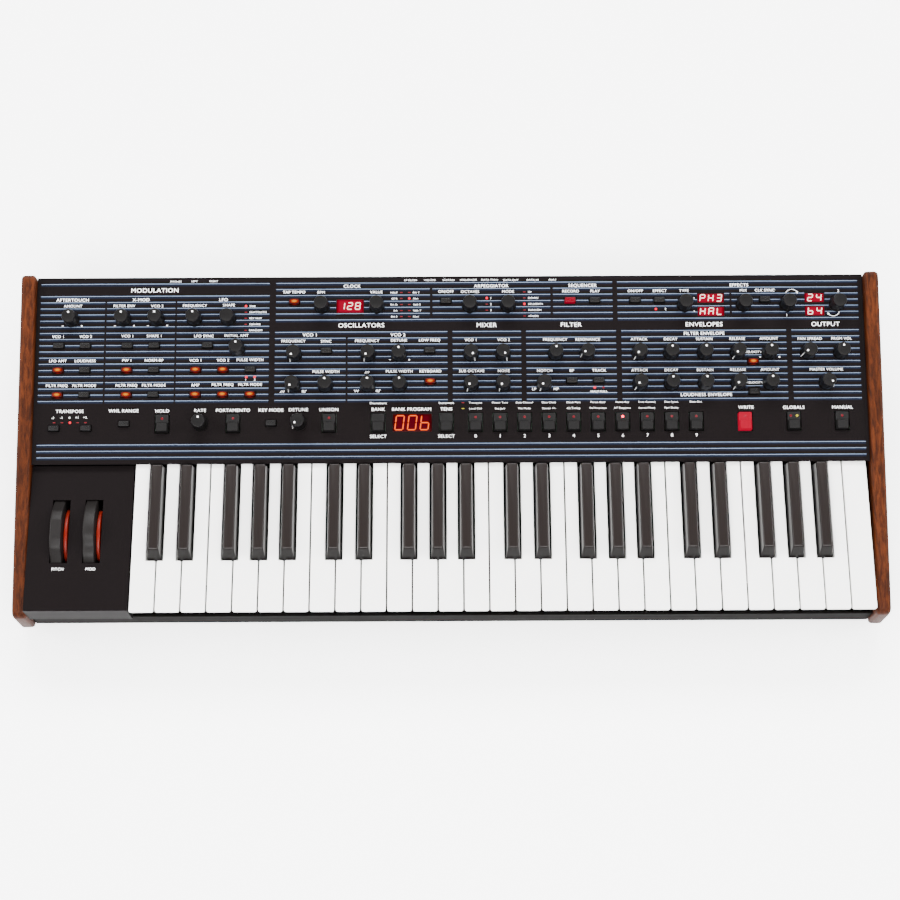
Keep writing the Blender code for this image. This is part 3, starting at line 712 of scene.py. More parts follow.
class Shell:
    """Surfaces gathered into one mesh, in millimetres."""

    def __init__(self):
        self.points = []
        self.faces = []
        self.slots = []
        self.count = 0

    def add(self, points, faces, slot=0):
        """Points and the faces between them, as rows of corner numbers."""
        points = np.asarray(points, float).reshape(-1, 3)
        for block in faces:
            rows = (np.asarray(block) + self.count).tolist()
            self.faces += rows
            self.slots += [slot] * len(rows)
        self.points.append(points)
        self.count += len(points)

    def rings(self, rings, slot=0, caps=True, seam=True):
        """A skin through rings of equal length: quads between neighbours, flat caps on both ends."""
        rings = np.asarray(rings, float)
        count, sides = rings.shape[:2]
        i = np.arange(count - 1)[:, None] * sides
        j = np.arange(sides if seam else sides - 1)[None, :]
        k = (j + 1) % sides
        quads = np.stack([i + j, i + k, i + sides + k, i + sides + j], axis=-1).reshape(-1, 4)
        faces = [quads]
        if caps:
            faces.append(np.arange(sides)[None, ::-1])
            faces.append((count - 1) * sides + np.arange(sides)[None, :])
        self.add(rings, faces, slot)

    def tilt(self):
        """Put everything gathered so far on the panel."""
        self.points = [tilt(np.concatenate(self.points))]
        return self


def rounded(corners, radius, steps=4):
    """An outline whose corners are arcs: each arc starts a tangent's length before its corner,
    and turns about a centre one radius to the inside."""
    corners = np.asarray(corners, float)
    radius = np.broadcast_to(np.asarray(radius, float), len(corners))
    before = corners - np.roll(corners, 1, axis=0)
    after = np.roll(corners, -1, axis=0) - corners
    before /= np.linalg.norm(before, axis=1)[:, None]
    after /= np.linalg.norm(after, axis=1)[:, None]
    turn = np.arctan2(
        before[:, 0] * after[:, 1] - before[:, 1] * after[:, 0], (before * after).sum(axis=1)
    )
    side = np.sign(turn)
    start = corners - before * (radius * np.tan(abs(turn) / 2))[:, None]
    left = np.stack([-before[:, 1], before[:, 0]], axis=1)
    centre = start + left * (radius * side)[:, None]
    angle = turn[:, None] * np.linspace(0.0, 1.0, steps + 1)[None, :]
    arm = start - centre
    x = centre[:, None, 0] + arm[:, None, 0] * np.cos(angle) - arm[:, None, 1] * np.sin(angle)
    y = centre[:, None, 1] + arm[:, None, 0] * np.sin(angle) + arm[:, None, 1] * np.cos(angle)
    return np.stack([x, y], axis=-1).reshape(-1, 2)


def rectangle(low, high, radius, steps=4):
    """A rounded rectangle between two corners."""
    corners = [(low[0], low[1]), (high[0], low[1]), (high[0], high[1]), (low[0], high[1])]
    return rounded(corners, radius, steps)


def inset(outline, distance):
    """An outline moved inwards: each point goes along the mean of its two edges' normals,
    lengthened so that both edges move by the same distance."""
    ahead = np.roll(outline, -1, axis=0) - outline
    ahead /= np.maximum(np.linalg.norm(ahead, axis=1), 1e-9)[:, None]
    normal = np.stack([-ahead[:, 1], ahead[:, 0]], axis=1)
    other = np.roll(normal, 1, axis=0)
    share = 1.0 + (normal * other).sum(axis=1)
    miter = (normal + other) / np.maximum(share, 0.4)[:, None]
    return outline + miter * distance


def slab(shell, outline, low, high, top=0.6, bottom=0.2, taper=0.0, steps=4, slot=0):
    """A plate with an outline: rings climb its side, and both edges are quarter rounds, where a ring
    at angle a is radius*(1-sin a) below the edge's face and radius*(1-cos a) inside its side."""
    angles = np.linspace(0.0, math.pi / 2, steps + 1)
    levels = []
    for a in angles[::-1]:
        levels.append((low + bottom * (1.0 - math.sin(a)), bottom * (1.0 - math.cos(a))))
    for a in angles:
        levels.append((high - top * (1.0 - math.sin(a)), top * (1.0 - math.cos(a)) + taper))
    rings = []
    for z, inward in levels:
        flat = inset(outline, inward)
        rings.append(np.column_stack([flat, np.full(len(flat), z)]))
    shell.rings(rings, slot)


def revolve(shell, profile, sides, centre=(0.0, 0.0), slot=0, wobble=None):
    """A turned surface: ring i has the profile's radius and height, at angles round the centre.
    The wobble, where given, scales each ring's radius with the angle."""
    profile = np.asarray(profile, float)
    angle = np.arange(sides) * TAU / sides
    radius = profile[:, 0][:, None] * np.ones(sides)[None, :]
    if wobble is not None:
        radius = radius * wobble(profile[:, 1][:, None], angle[None, :])
    x = centre[0] + radius * np.cos(angle)[None, :]
    y = centre[1] + radius * np.sin(angle)[None, :]
    z = profile[:, 1][:, None] * np.ones(sides)[None, :]
    shell.rings(np.stack([x, y, z], axis=-1), slot)


def make_piece(name, shell, body, finishes, replaces=(), smooth_deg=35.0):
    """A mesh object in metres that rides on a body, takes the given finishes and may replace nodes."""
    mesh = bpy.data.meshes.new(name)
    points = np.concatenate(shell.points) * MM
    mesh.from_pydata(points, [], shell.faces)
    for finish in finishes:
        mesh.materials.append(finish)
    mesh.polygons.foreach_set("material_index", np.array(shell.slots, dtype=np.int32))
    mesh.shade_smooth()
    mesh.set_sharp_from_angle(angle=math.radians(smooth_deg))
    mesh.update()
    piece = bpy.data.objects.new(name, mesh)
    bpy.context.scene.collection.objects.link(piece)
    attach(piece, body)
    if replaces:
        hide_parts(*replaces)
    return piece


def refinish(node, finish):
    """Give a CAD node that stays in view a procedural material."""
    slots = NODES[node].data.materials
    slots.clear()
    slots.append(finish)


# ---------------------------------------------------------------------------------------------
# Case
# ---------------------------------------------------------------------------------------------
WOOD_NOSE_HEIGHT = 43.7


def wooden_end_shell(node):
    """The board's side outline carried across its thickness, with quarter-round rims. The outline
    follows the CAD board: a rounded nose, one straight rise to the back, and small lower corners."""
    low, high = box_mm(node)
    edge = sizes().wood_edge
    front_top = low[2] + WOOD_NOSE_HEIGHT
    corners = [(low[1], low[2]), (high[1], low[2]), (high[1], high[2]), (low[1], front_top)]
    outline = rounded(corners, (3.5, 3.5, 5.0, 8.5), 8)
    shell = Shell()
    angles = np.linspace(0.0, math.pi / 2, 7)
    levels = [(low[0] + edge * (1 - math.sin(a)), edge * (1 - math.cos(a))) for a in angles[::-1]]
    levels += [(high[0] - edge * (1 - math.sin(a)), edge * (1 - math.cos(a))) for a in angles]
    rings = []
    for x, inward in levels:
        flat = inset(outline, inward)
        rings.append(np.column_stack([np.full(len(flat), x), flat]))
    shell.rings(rings)
    return shell


class SYNTH_OT_case(bpy.types.Operator):
    """Make the wooden ends and finish the steel case"""

    bl_idname = "synth.case"
    bl_label = "Case"

    def execute(self, context):
        for node in ("left_wood_end", "right_wood_end"):
            name = node.replace("_end", "_cheek")
            make_piece(name, wooden_end_shell(node), "root", [oiled_walnut()], (node,))
        refinish("chassis_pan", rail_coat())
        refinish("control_panel", powder_coat())
        refinish("wheel_panel", powder_coat())
        refinish("keybed_frame", dark_steel())
        return {"FINISHED"}


# ---------------------------------------------------------------------------------------------
# Keys
# ---------------------------------------------------------------------------------------------
# Each key stands this far inside its CAD envelope on both sides, so the gaps read as dark lines.
KEY_INSET = 0.22


def key_section(left, right, low, high, edge, steps=4):
    """A key's cross-section in x and z: a rectangle with rounded upper and barely rounded lower edges."""
    left, right = left + KEY_INSET, right - KEY_INSET
    outline = rounded([(left, low), (right, low), (right, high), (left, high)], (0.4, 0.4, edge, edge), steps)
    return outline[::-1]


def white_sides(node, sharps):
    """How far a white key's neck is cut back on its left and right beside the neighbouring sharps."""
    low, high = box_mm(node)
    gap = 0.75
    left, right = low[0], high[0]
    for sharp_low, sharp_high in sharps:
        if sharp_low[0] < low[0] < sharp_high[0]:
            left = sharp_high[0] + gap
        if sharp_low[0] < high[0] < sharp_high[0]:
            right = sharp_low[0] - gap
    return left, right


def white_plate(shell, node, neck_left, neck_right, head_back):
    """Cross-sections from front to back. At angle a round the front edge a section stands
    edge*(1-cos a) behind the front and edge*(1-sin a) below the top, and the plan's corners come in by
    corner*(1-sin a); the head ends at the sharps, where the sides step in to the neck."""
    low, high = box_mm(node)
    edge, corner = sizes().key_edge, 1.7
    back = box_mm("control_panel")[0][1] + 5.6
    bottom, top = high[2] - 4.0, high[2]
    stations = []
    for a in np.linspace(0.0, math.pi / 2, 6):
        squeeze = corner * (1.0 - math.sin(a))
        stations.append((low[1] + corner * (1.0 - math.cos(a)), low[0] + squeeze, high[0] - squeeze))
    stations += [(head_back - 0.9, low[0], high[0]), (head_back - 0.3, low[0], high[0])]
    stations += [(head_back, low[0] + min(0.5, neck_left - low[0]), high[0] - min(0.5, high[0] - neck_right))]
    stations += [(head_back + 0.02, neck_left, neck_right), (back, neck_left, neck_right)]
    rings = []
    for y, left, right in stations:
        depth = min(1.0, (y - low[1]) / corner)
        drop = edge * (1.0 - math.sqrt(1.0 - (1.0 - depth) ** 2)) * 0.8
        flat = key_section(left, right, bottom, top - drop, edge)
        rings.append(np.column_stack([flat[:, 0], np.full(len(flat), y), flat[:, 1]]))
    shell.rings(rings)


def key_stem(shell, x, front, back, low, top, width=8.0):
    """The bar under a key that runs back to its pivot."""
    slab(shell, rectangle((x - width / 2, front), (x + width / 2, back), 0.6, 2), low, top, 0.4, 0.4, steps=2)


def white_key_shell(node, sharps):
    """The top plate between its neighbours, one stem under it and one behind it up to the hinge."""
    low, high = box_mm(node)
    neck_left, neck_right = white_sides(node, sharps)
    shell = Shell()
    white_plate(shell, node, neck_left, neck_right, sharps[0][0][1] - 0.3)
    stem_x = (neck_left + neck_right) / 2
    key_stem(shell, stem_x, low[1] + 30.0, low[1] + 140.0, low[2] + 0.1, high[2] - 3.6)
    key_stem(shell, stem_x, low[1] + 133.0, high[1] - 0.2, low[2] + 0.6, low[2] + 13.8, 7.6)
    return shell


def black_key_shell(node):
    """Rings climb from a wide foot to a narrow top while the nose runs back, then round over the edge."""
    low, high = box_mm(node)
    foot_z = high[2] - 15.8
    cap_back = box_mm("control_panel")[0][1] - 2.2
    nose, narrow, edge = 8.0, 2.15, 1.3
    half = (high[0] - low[0]) / 2
    middle = (high[0] + low[0]) / 2
    rise = high[2] - foot_z
    levels = [(share, 0.0) for share in np.linspace(0.0, 1.0 - edge / rise, 6)]
    angles = np.linspace(0.0, math.pi / 2, 7)[1:]
    levels += [(1.0 - edge * (1 - math.sin(a)) / rise, edge * (1 - math.cos(a))) for a in angles]
    rings = []
    for share, inward in levels:
        lean = nose * share**1.25
        x_half = half - narrow * share - inward
        front = low[1] + lean + inward * 0.8
        flat = rectangle((middle - x_half, front), (middle + x_half, cap_back - 0.6 * share - inward), 1.1, 4)
        rings.append(np.column_stack([flat, np.full(len(flat), foot_z + rise * share)]))
    shell = Shell()
    shell.rings(rings)
    key_stem(shell, middle, low[1] + 6.0, cap_back - 3.0, low[2] + 0.1, foot_z + 0.3)
    key_stem(shell, middle, cap_back - 8.0, high[1] - 0.2, low[2] + 0.6, low[2] + 13.8, 7.6)
    return shell


class SYNTH_OT_keys(bpy.types.Operator):
    """Make every white and black key on its own body"""

    bl_idname = "synth.keys"
    bl_label = "Keys"

    def execute(self, context):
        names = sorted(node for node in NODES if node.startswith("key_"))
        sharps = [box_mm(node) for node in names if node.endswith("_sharp")]
        for node in names:
            name = node.replace("key_", "note_")
            if node.endswith("_sharp"):
                make_piece(name, black_key_shell(node), node, [ebony_plastic()], (node,), 50.0)
            else:
                shell = white_key_shell(node, sharps)
                make_piece(name, shell, node, [ivory_plastic()], (node,), 50.0)
        return {"FINISHED"}


# ---------------------------------------------------------------------------------------------
# Wheels
# ---------------------------------------------------------------------------------------------
def sector_rings(centre_y, centre_z, x_levels, radius, hub, start, end, steps, flats=None):
    """Rings of a sector, one for each x level as (x, inward): a rim arc from start to end, angles
    measured from the top to the back, and a hub arc that closes it below. Flats cut the rim."""
    angle = np.radians(np.linspace(start, end, steps))
    below = np.radians(np.linspace(end, start + 360.0, 12)[1:-1])
    rings = []
    for x, inward in x_levels:
        reach = np.full(steps, radius - inward)
        if flats is not None:
            reach = np.minimum(reach, flats(np.degrees(angle)) - inward)
        y = np.concatenate([reach * np.sin(angle), (hub - inward) * np.sin(below)])
        z = np.concatenate([reach * np.cos(angle), (hub - inward) * np.cos(below)])
        rings.append(np.column_stack([np.full(len(y), x), centre_y + y, centre_z + z]))
    return rings


def wheel_levels(left, right, edge, steps=4):
    """x levels across a wheel with quarter-round rims."""
    angles = np.linspace(0.0, math.pi / 2, steps + 1)
    levels = [(left + edge * (1 - math.sin(a)), edge * (1 - math.cos(a))) for a in angles[::-1]]
    return levels + [(right - edge * (1 - math.sin(a)), edge * (1 - math.cos(a))) for a in angles]


def pitch_flats(angle):
    """Distance to the rim with a flat between -19 and 19 degrees and long flats beside it."""
    flat = 40.6 / np.cos(np.radians(angle - np.clip(np.round(angle / 38.0) * 38.0, -76.0, 76.0)))
    return flat - 0.35


def mod_flats(angle):
    """Distance to the rim with a dent low on the player's side."""
    dent = 2.4 * np.exp(-(((angle + 22.0) / 10.0) ** 2))
    return 41.2 - dent * (angle > -60.0)


class SYNTH_OT_wheels(bpy.types.Operator):
    """Make the pitch and modulation wheels with their coloured discs"""

    bl_idname = "synth.wheels"
    bl_label = "Wheels"

    def execute(self, context):
        specs = (
            ("pitch_wheel", "bend_wheel_turn", -80.0, 80.0, pitch_flats),
            ("mod_wheel", "mod_wheel_turn", -120.0, 50.0, mod_flats),
        )
        for node, joint, start, end, flats in specs:
            low, high = box_mm(node)
            _, centre_y, centre_z = np.array(JOINTS[joint]["pos_m"]) / MM
            rim = Shell()
            levels = wheel_levels(low[0], low[0] + 10.5, 1.0)
            rim.rings(sector_rings(centre_y, centre_z, levels, 41.2, 9.0, start, end, 120, flats))
            make_piece(node + "_rim", rim, node, [wheel_plastic()], (node,), 30.0)
            disc = Shell()
            levels = wheel_levels(low[0] + 10.9, low[0] + 14.1, 0.8)
            first = max(start, -110.0) + 2.0
            disc.rings(sector_rings(centre_y, centre_z, levels, 31.0, 8.5, first, end - 6.0, 90))
            make_piece(node + "_disc", disc, node, [orange_acrylic()], (), 30.0)
        return {"FINISHED"}


# ---------------------------------------------------------------------------------------------
# Knobs
# ---------------------------------------------------------------------------------------------
def knob_profile():
    """Radius and height from the foot to the middle of the top: skirt, waist, tapered cap, dished top."""
    size = sizes()
    cap, skirt, top = size.knob_radius, size.knob_skirt, size.knob_height
    foot = [(skirt - 0.3, 0.5), (skirt, 0.8), (skirt, 1.5), (skirt - 0.5, 2.1)]
    foot += [(cap + 1.1, 2.9), (cap + 0.75, 3.8)]
    side = [(cap + 0.7 - 0.06 * k, 3.8 + (top - 5.0) * k / 8.0) for k in range(1, 9)]
    turns = np.linspace(0.2, math.pi / 2, 5)
    rim = [(cap - 0.55 * (1 - math.cos(a)), top - 0.6 + 0.6 * math.sin(a)) for a in turns]
    dish = [(cap - 1.1, top - 0.06), (cap * 0.55, top - 0.28), (0.6, top - 0.34)]
    return foot + side + rim + dish


def knob_grip(height, angle):
    """Ten shallow finger hollows round the cap's side that fade out at the skirt and under the rim."""
    top = sizes().knob_height
    fade = np.clip((height - 3.4) / 1.5, 0.0, 1.0) * np.clip((top - 0.3 - height) / 1.6, 0.0, 1.0)
    hollow = np.clip(np.cos(angle * 10.0), 0.0, 1.0) ** 1.2
    return 1.0 - 0.055 * fade * hollow


def knob_shell(x, t, hour):
    """A knob on the panel; a pointer line runs down its side from a dot on its top."""
    size = sizes()
    shell = Shell()
    revolve(shell, knob_profile(), 60, (x, t), 0, knob_grip)
    if hour is not None:
        turn = hour * TAU / 12.0
        out = np.array([math.sin(turn), math.cos(turn)])
        side = np.array([out[1], -out[0]])
        path = [(size.knob_radius - 0.1, size.knob_height - 0.9), (size.knob_radius + 0.55, 9.0)]
        path += [(size.knob_radius + 0.95, 3.8), (size.knob_radius + 1.3, 2.9), (size.knob_skirt + 0.12, 1.9)]
        path = np.array(path + [(size.knob_skirt + 0.12, 0.9)])
        middle = np.array([x, t]) + path[:, 0][:, None] * out[None, :]
        left = np.column_stack([middle - side * 0.2, path[:, 1]])
        right = np.column_stack([middle + side * 0.2, path[:, 1]])
        inner = np.column_stack([middle - out * 0.8, path[:, 1]])
        rings = np.stack([left, right, inner], axis=1)[::-1]
        shell.rings(rings, 1)
        dot = np.array([x, t]) + out * (size.knob_radius - 3.0)
        top = size.knob_height
        revolve(shell, [(0.85, top - 0.6), (0.85, top), (0.7, top + 0.05)], 20, dot, 1)
    return shell.tilt()


class SYNTH_OT_knobs(bpy.types.Operator):
    """Make every knob with its pointer"""

    bl_idname = "synth.knobs"
    bl_label = "Knobs"

    def execute(self, context):
        for row, knobs in KNOBS.items():
            for name, x, hour in knobs:
                shell = knob_shell(x, stripe(row), hour)
                body, slot, replaced = "root", "controls", ()
                if name == "master_volume":
                    body, slot, replaced = "master_volume_knob", "knob_plastic", ("master_volume_knob",)
                finishes = [knob_plastic(), print_ink("white")]
                make_piece("knob_" + name, shell, body, finishes, replaced, 40.0)
        return {"FINISHED"}


# ---------------------------------------------------------------------------------------------
# Buttons, lamps and displays
# ---------------------------------------------------------------------------------------------
def small_button_shell(x, t):
    """A soft-edged cap that stands in its hole."""
    shell = Shell()
    outline = rectangle((x - 5.0, t - 2.75), (x + 5.0, t + 2.75), 0.9, 4)
    slab(shell, outline, -7.0, sizes().button_height, 0.8, 0.2, 0.25)
    return shell.tilt()


def large_button_shell(x, t, lamps):
    """A two-level cap: a low upper part with the lamps, and a raised block below that narrows to
    its top and slopes towards the player."""
    shell = Shell()
    slab(shell, rectangle((x - 6.0, t - 8.5), (x + 6.0, t + 8.5), 0.8, 3), -6.8, 1.3, 0.5, 0.2)
    rings = []
    for share in np.linspace(0.0, 1.0, 5):
        soft = 0.5 * max(0.0, share - 0.75) / 0.25
        low = (x - 6.0 + 1.0 * share + soft * 0.4, t - 8.5 + 0.9 * share + soft * 0.4)
        high = (x + 6.0 - 1.0 * share - soft * 0.4, t + 0.9 - 0.5 * share - soft * 0.3)
        flat = rectangle(low, high, 0.8, 4)
        height = 1.1 + 2.6 * share + 0.35 * share * (t - flat[:, 1]) / 8.0
        rings.append(np.column_stack([flat, height]))
    shell.rings(rings)
    for offset, _ in lamps:
        ring = [(1.7, 1.15), (1.7, 1.36), (1.35, 1.40)]
        revolve(shell, ring, 20, (x + offset, t + 4.7))
    return shell.tilt()


def lens(shell, x, t, radius, base, height):
    """A domed lens: height*sqrt(1-(r/radius)^2) over its base."""
    spread = np.linspace(0.0, math.pi / 2, 6)[:-1]
    profile = [(radius * math.cos(a), base + height * math.sin(a)) for a in spread] + [(0.05, base + height)]
    revolve(shell, [(radius, base - 0.6)] + profile, 16, (x, t))


class SYNTH_OT_buttons(bpy.types.Operator):
    """Make the small and the large buttons"""

    bl_idname = "synth.buttons"
    bl_label = "Buttons"

    def execute(self, context):
        for row, buttons in SMALL_BUTTONS.items():
            for name, x, kind in buttons:
                t = stripe(row)
                finish = button_plastic()
                if kind == "amber":
                    finish = lit_amber(x, float(tilt((x, t, sizes().button_height))[1]))
                if kind == "ruby":
                    finish = ruby_cap(0.24)
                make_piece("button_" + name, small_button_shell(x, t), "root", [finish])
        t = stripe(BOTTOM_ROW)
        for name, x, lamps in LARGE_BUTTONS:
            body, slot, finish, replaced = "root", "controls", button_plastic(), ()
            if name == "write":
                body, slot, finish = "write_button", "lit_red_cap", ruby_cap(0.50)
                replaced = ("write_button",)
            cap = large_button_shell(x, t, lamps)
            make_piece("button_" + name, cap, body, [finish], replaced, 30.0)
            for index, (offset, kind) in enumerate(lamps):
                shell = Shell()
                lens(shell, x + offset, t + 4.7, 1.3, 1.35, 0.55)
                make_piece(f"lamp_{name}_{index}", shell.tilt(), body, [lamp_plastic(kind)])
        return {"FINISHED"}


SEGMENTS = {
    # character: the lit segments, a at the top, then clockwise, with g in the middle
    "0": "abcdef",
    "1": "bc",
    "2": "abged",
    "3": "abgcd",
    "4": "fgbc",
    "8": "abcdefg",
    "P": "abefg",
    "H": "bcefg",
    "A": "abcefg",
    "L": "def",
    "b": "cdefg",
}
SEGMENT_ENDS = {
    "a": ((0, 2), (1, 2)),
    "b": ((1, 2), (1, 1)),
    "c": ((1, 1), (1, 0)),
    "d": ((0, 0), (1, 0)),
    "e": ((0, 1), (0, 0)),
    "f": ((0, 2), (0, 1)),
    "g": ((0, 1), (1, 1)),
}


def segment_bar(start, end, width):
    """A six-cornered bar between two points with pointed ends, listed anticlockwise."""
    start, end = np.array(start, float), np.array(end, float)
    along = (end - start) / np.linalg.norm(end - start)
    across = np.array([-along[1], along[0]]) * width / 2
    lead = along * width / 2
    start, end = start + along * 0.18 * width, end - along * 0.18 * width
    lower = [start, start + lead - across, end - lead - across]
    upper = [end, end - lead + across, start + lead + across]
    return np.array(lower + upper)


def digits_shell(x, t, text, size, level):
    """Slanted seven-segment characters centred on a window."""
    shell = Shell()
    height, width, pitch = size
    stroke = 0.42 + height * 0.055
    start = x - pitch * (len(text) - 1) / 2 - width / 2
    for index, character in enumerate(text):
        for name in SEGMENTS[character]:
            ends = [(u * width, v * height / 2) for u, v in SEGMENT_ENDS[name]]
            bar = segment_bar(*ends, stroke)
            bar[:, 0] += start + index * pitch + (bar[:, 1] - height / 2) * 0.12
            bar[:, 1] += t - height / 2
            low = np.column_stack([bar, np.full(6, level - 0.15)])
            high = np.column_stack([bar, np.full(6, level)])
            shell.rings([low, high])
    return shell.tilt()


class SYNTH_OT_displays(bpy.types.Operator):
    """Make the red displays and the single lamps"""

    bl_idname = "synth.displays"
    bl_label = "Displays and lamps"

    def execute(self, context):
        for name, x, row, width, height, text, size in DISPLAYS:
            t = stripe(row)
            window = Shell()
            u, v = width / 2 - 0.35, height / 2 - 0.35
            outline = rectangle((x - u, t - v), (x + u, t + v), 0.4, 2)
            slab(window, outline, -7.0, -0.25, 0.2, 0.2, steps=2)
            centre_y = float(tilt((x, t, 0.0))[1])
            large = name == "program_display"
            strength = 0.12 if large else 0.52
            finish = display_window(x, centre_y, width, height * math.cos(SLOPE), strength)
            make_piece(name, window.tilt(), "root", [finish])
            digits = digits_shell(x, t, text, size, -0.05)
            lit = display_digit("amber" if large else "white")
            make_piece(name + "_digits", digits, "root", [lit])
        for kind in sorted({kind for _, _, kind in LAMPS}):
            shell = Shell()
            for x, row, lamp_kind in LAMPS:
                if lamp_kind != kind:
                    continue
                t = stripe(row)
                if kind in ("bar_off", "yellow_off"):
                    bar = rectangle((x - 1.25, t - 0.4), (x + 1.25, t + 0.4), 0.3, 2)
                    slab(shell, bar, -1.0, 0.3, 0.15, 0.1, steps=2)
                else:
                    lens(shell, x, t, 1.2, 0.1, 0.8)
            make_piece("lamps_" + kind, shell.tilt(), "root", [lamp_plastic(kind)])
        board_low, board_high = box_mm("control_board")
        board = Shell()
        outline = rectangle((board_low[0], 15.2), (board_high[0], 173.2), 2.0, 3)
        slab(board, outline, -10.1, -8.5, 0.1, 0.1, steps=2)
        make_piece("circuit_board", board.tilt(), "root", [circuit_board()], ("control_board",))
        return {"FINISHED"}


# ---------------------------------------------------------------------------------------------
# Print
# ---------------------------------------------------------------------------------------------
FULL = ((-386.0, 387.0),)
MODULATION = ((-386.5, -170.5),)
MODULATION_SPLIT = ((-386.5, -325.7), (-323.8, -259.3), (-257.5, -170.5))
UPPER_JOINED = ((-164.2, 153.5),)
UPPER_SPLIT = ((-164.2, -19.0), (-16.4, 94.8), (97.4, 153.5))
EFFECTS_JOINED = ((158.2, 385.2),)
EFFECTS_SPLIT = ((158.2, 264.0), (266.0, 385.2))
LOWER_JOINED = ((-164.8, -2.6), (2.4, 66.7), (71.6, 156.1), (161.2, 316.3), (321.5, 385.0))
LOWER_SPLIT = ((-164.8, -98.3), (-96.3, -2.6), (2.4, 66.7), (71.6, 156.1), (161.2, 316.3), (321.5, 385.0))


def stripe_runs():
    """Every printed stripe as (row, start, end)."""
    runs = {row: FULL for row in range(3)}
    for row in range(9, 29):
        if row == 27:
            left = ()
        else:
            left = MODULATION if row in (26, 28) else MODULATION_SPLIT
        if row == 21:
            right = ()
        elif row > 21:
            right = UPPER_JOINED if row in (22, 28) else UPPER_SPLIT
            right += EFFECTS_JOINED if row in (22, 28, 27) else EFFECTS_SPLIT
        else:
            right = LOWER_JOINED if row == 20 else LOWER_SPLIT
        runs[row] = left + right
    return [(row, start, end) for row, spans in runs.items() for start, end in spans]


def openings():
    """Every window and small button as x, t, half width and half height."""
    around = 0.7
    spots = [(x, stripe(row), width / 2 + 0.2, height / 2 + 0.2) for _, x, row, width, height, *_ in DISPLAYS]
    for row, buttons in SMALL_BUTTONS.items():
        spots += [(x, stripe(row), 5.0 + around, 2.75 + around) for _, x, _ in buttons]
    return spots


def cut_runs(runs, width, shift):
    """The runs with the openings they would cross taken out."""
    pieces = []
    for row, start, end in runs:
        t = printed(row) + shift
        crossed = [(x, half) for x, at, half, high in openings() if abs(at - t) < high + width / 2]
        blocks = sorted((x - half, x + half) for x, half in crossed)
        for low, high in blocks:
            if start < low < end:
                pieces.append((row, start, low))
            if low < end and start < high:
                start = min(high, end)
        if end - start > 0.3:
            pieces.append((row, start, end))
    return pieces


def flat_strips(runs, width, shift, level):
    """Thin printed strips, one quad each: start to end along x, width across, at a level over the panel."""
    runs = np.array(cut_runs(runs, width, shift), float)
    t = printed(runs[:, 0]) + shift
    start, end, below, above = runs[:, 1], runs[:, 2], t - width / 2, t + width / 2
    corners = [(start, below), (end, below), (end, above), (start, above)]
    points = np.stack([np.column_stack([x, y, np.full(len(runs), level)]) for x, y in corners], axis=1)
    shell = Shell()
    shell.add(points, [np.arange(len(runs) * 4).reshape(-1, 4)])
    return shell.tilt()


# Lettering sizes: capital height and letter width against the plain font.
TITLE = (4.1, 1.12)
SECTION = (3.0, 1.08)
LABEL = (2.55, 1.06)
SMALL = (1.9, 1.2)
TINY = (1.6, 1.2)

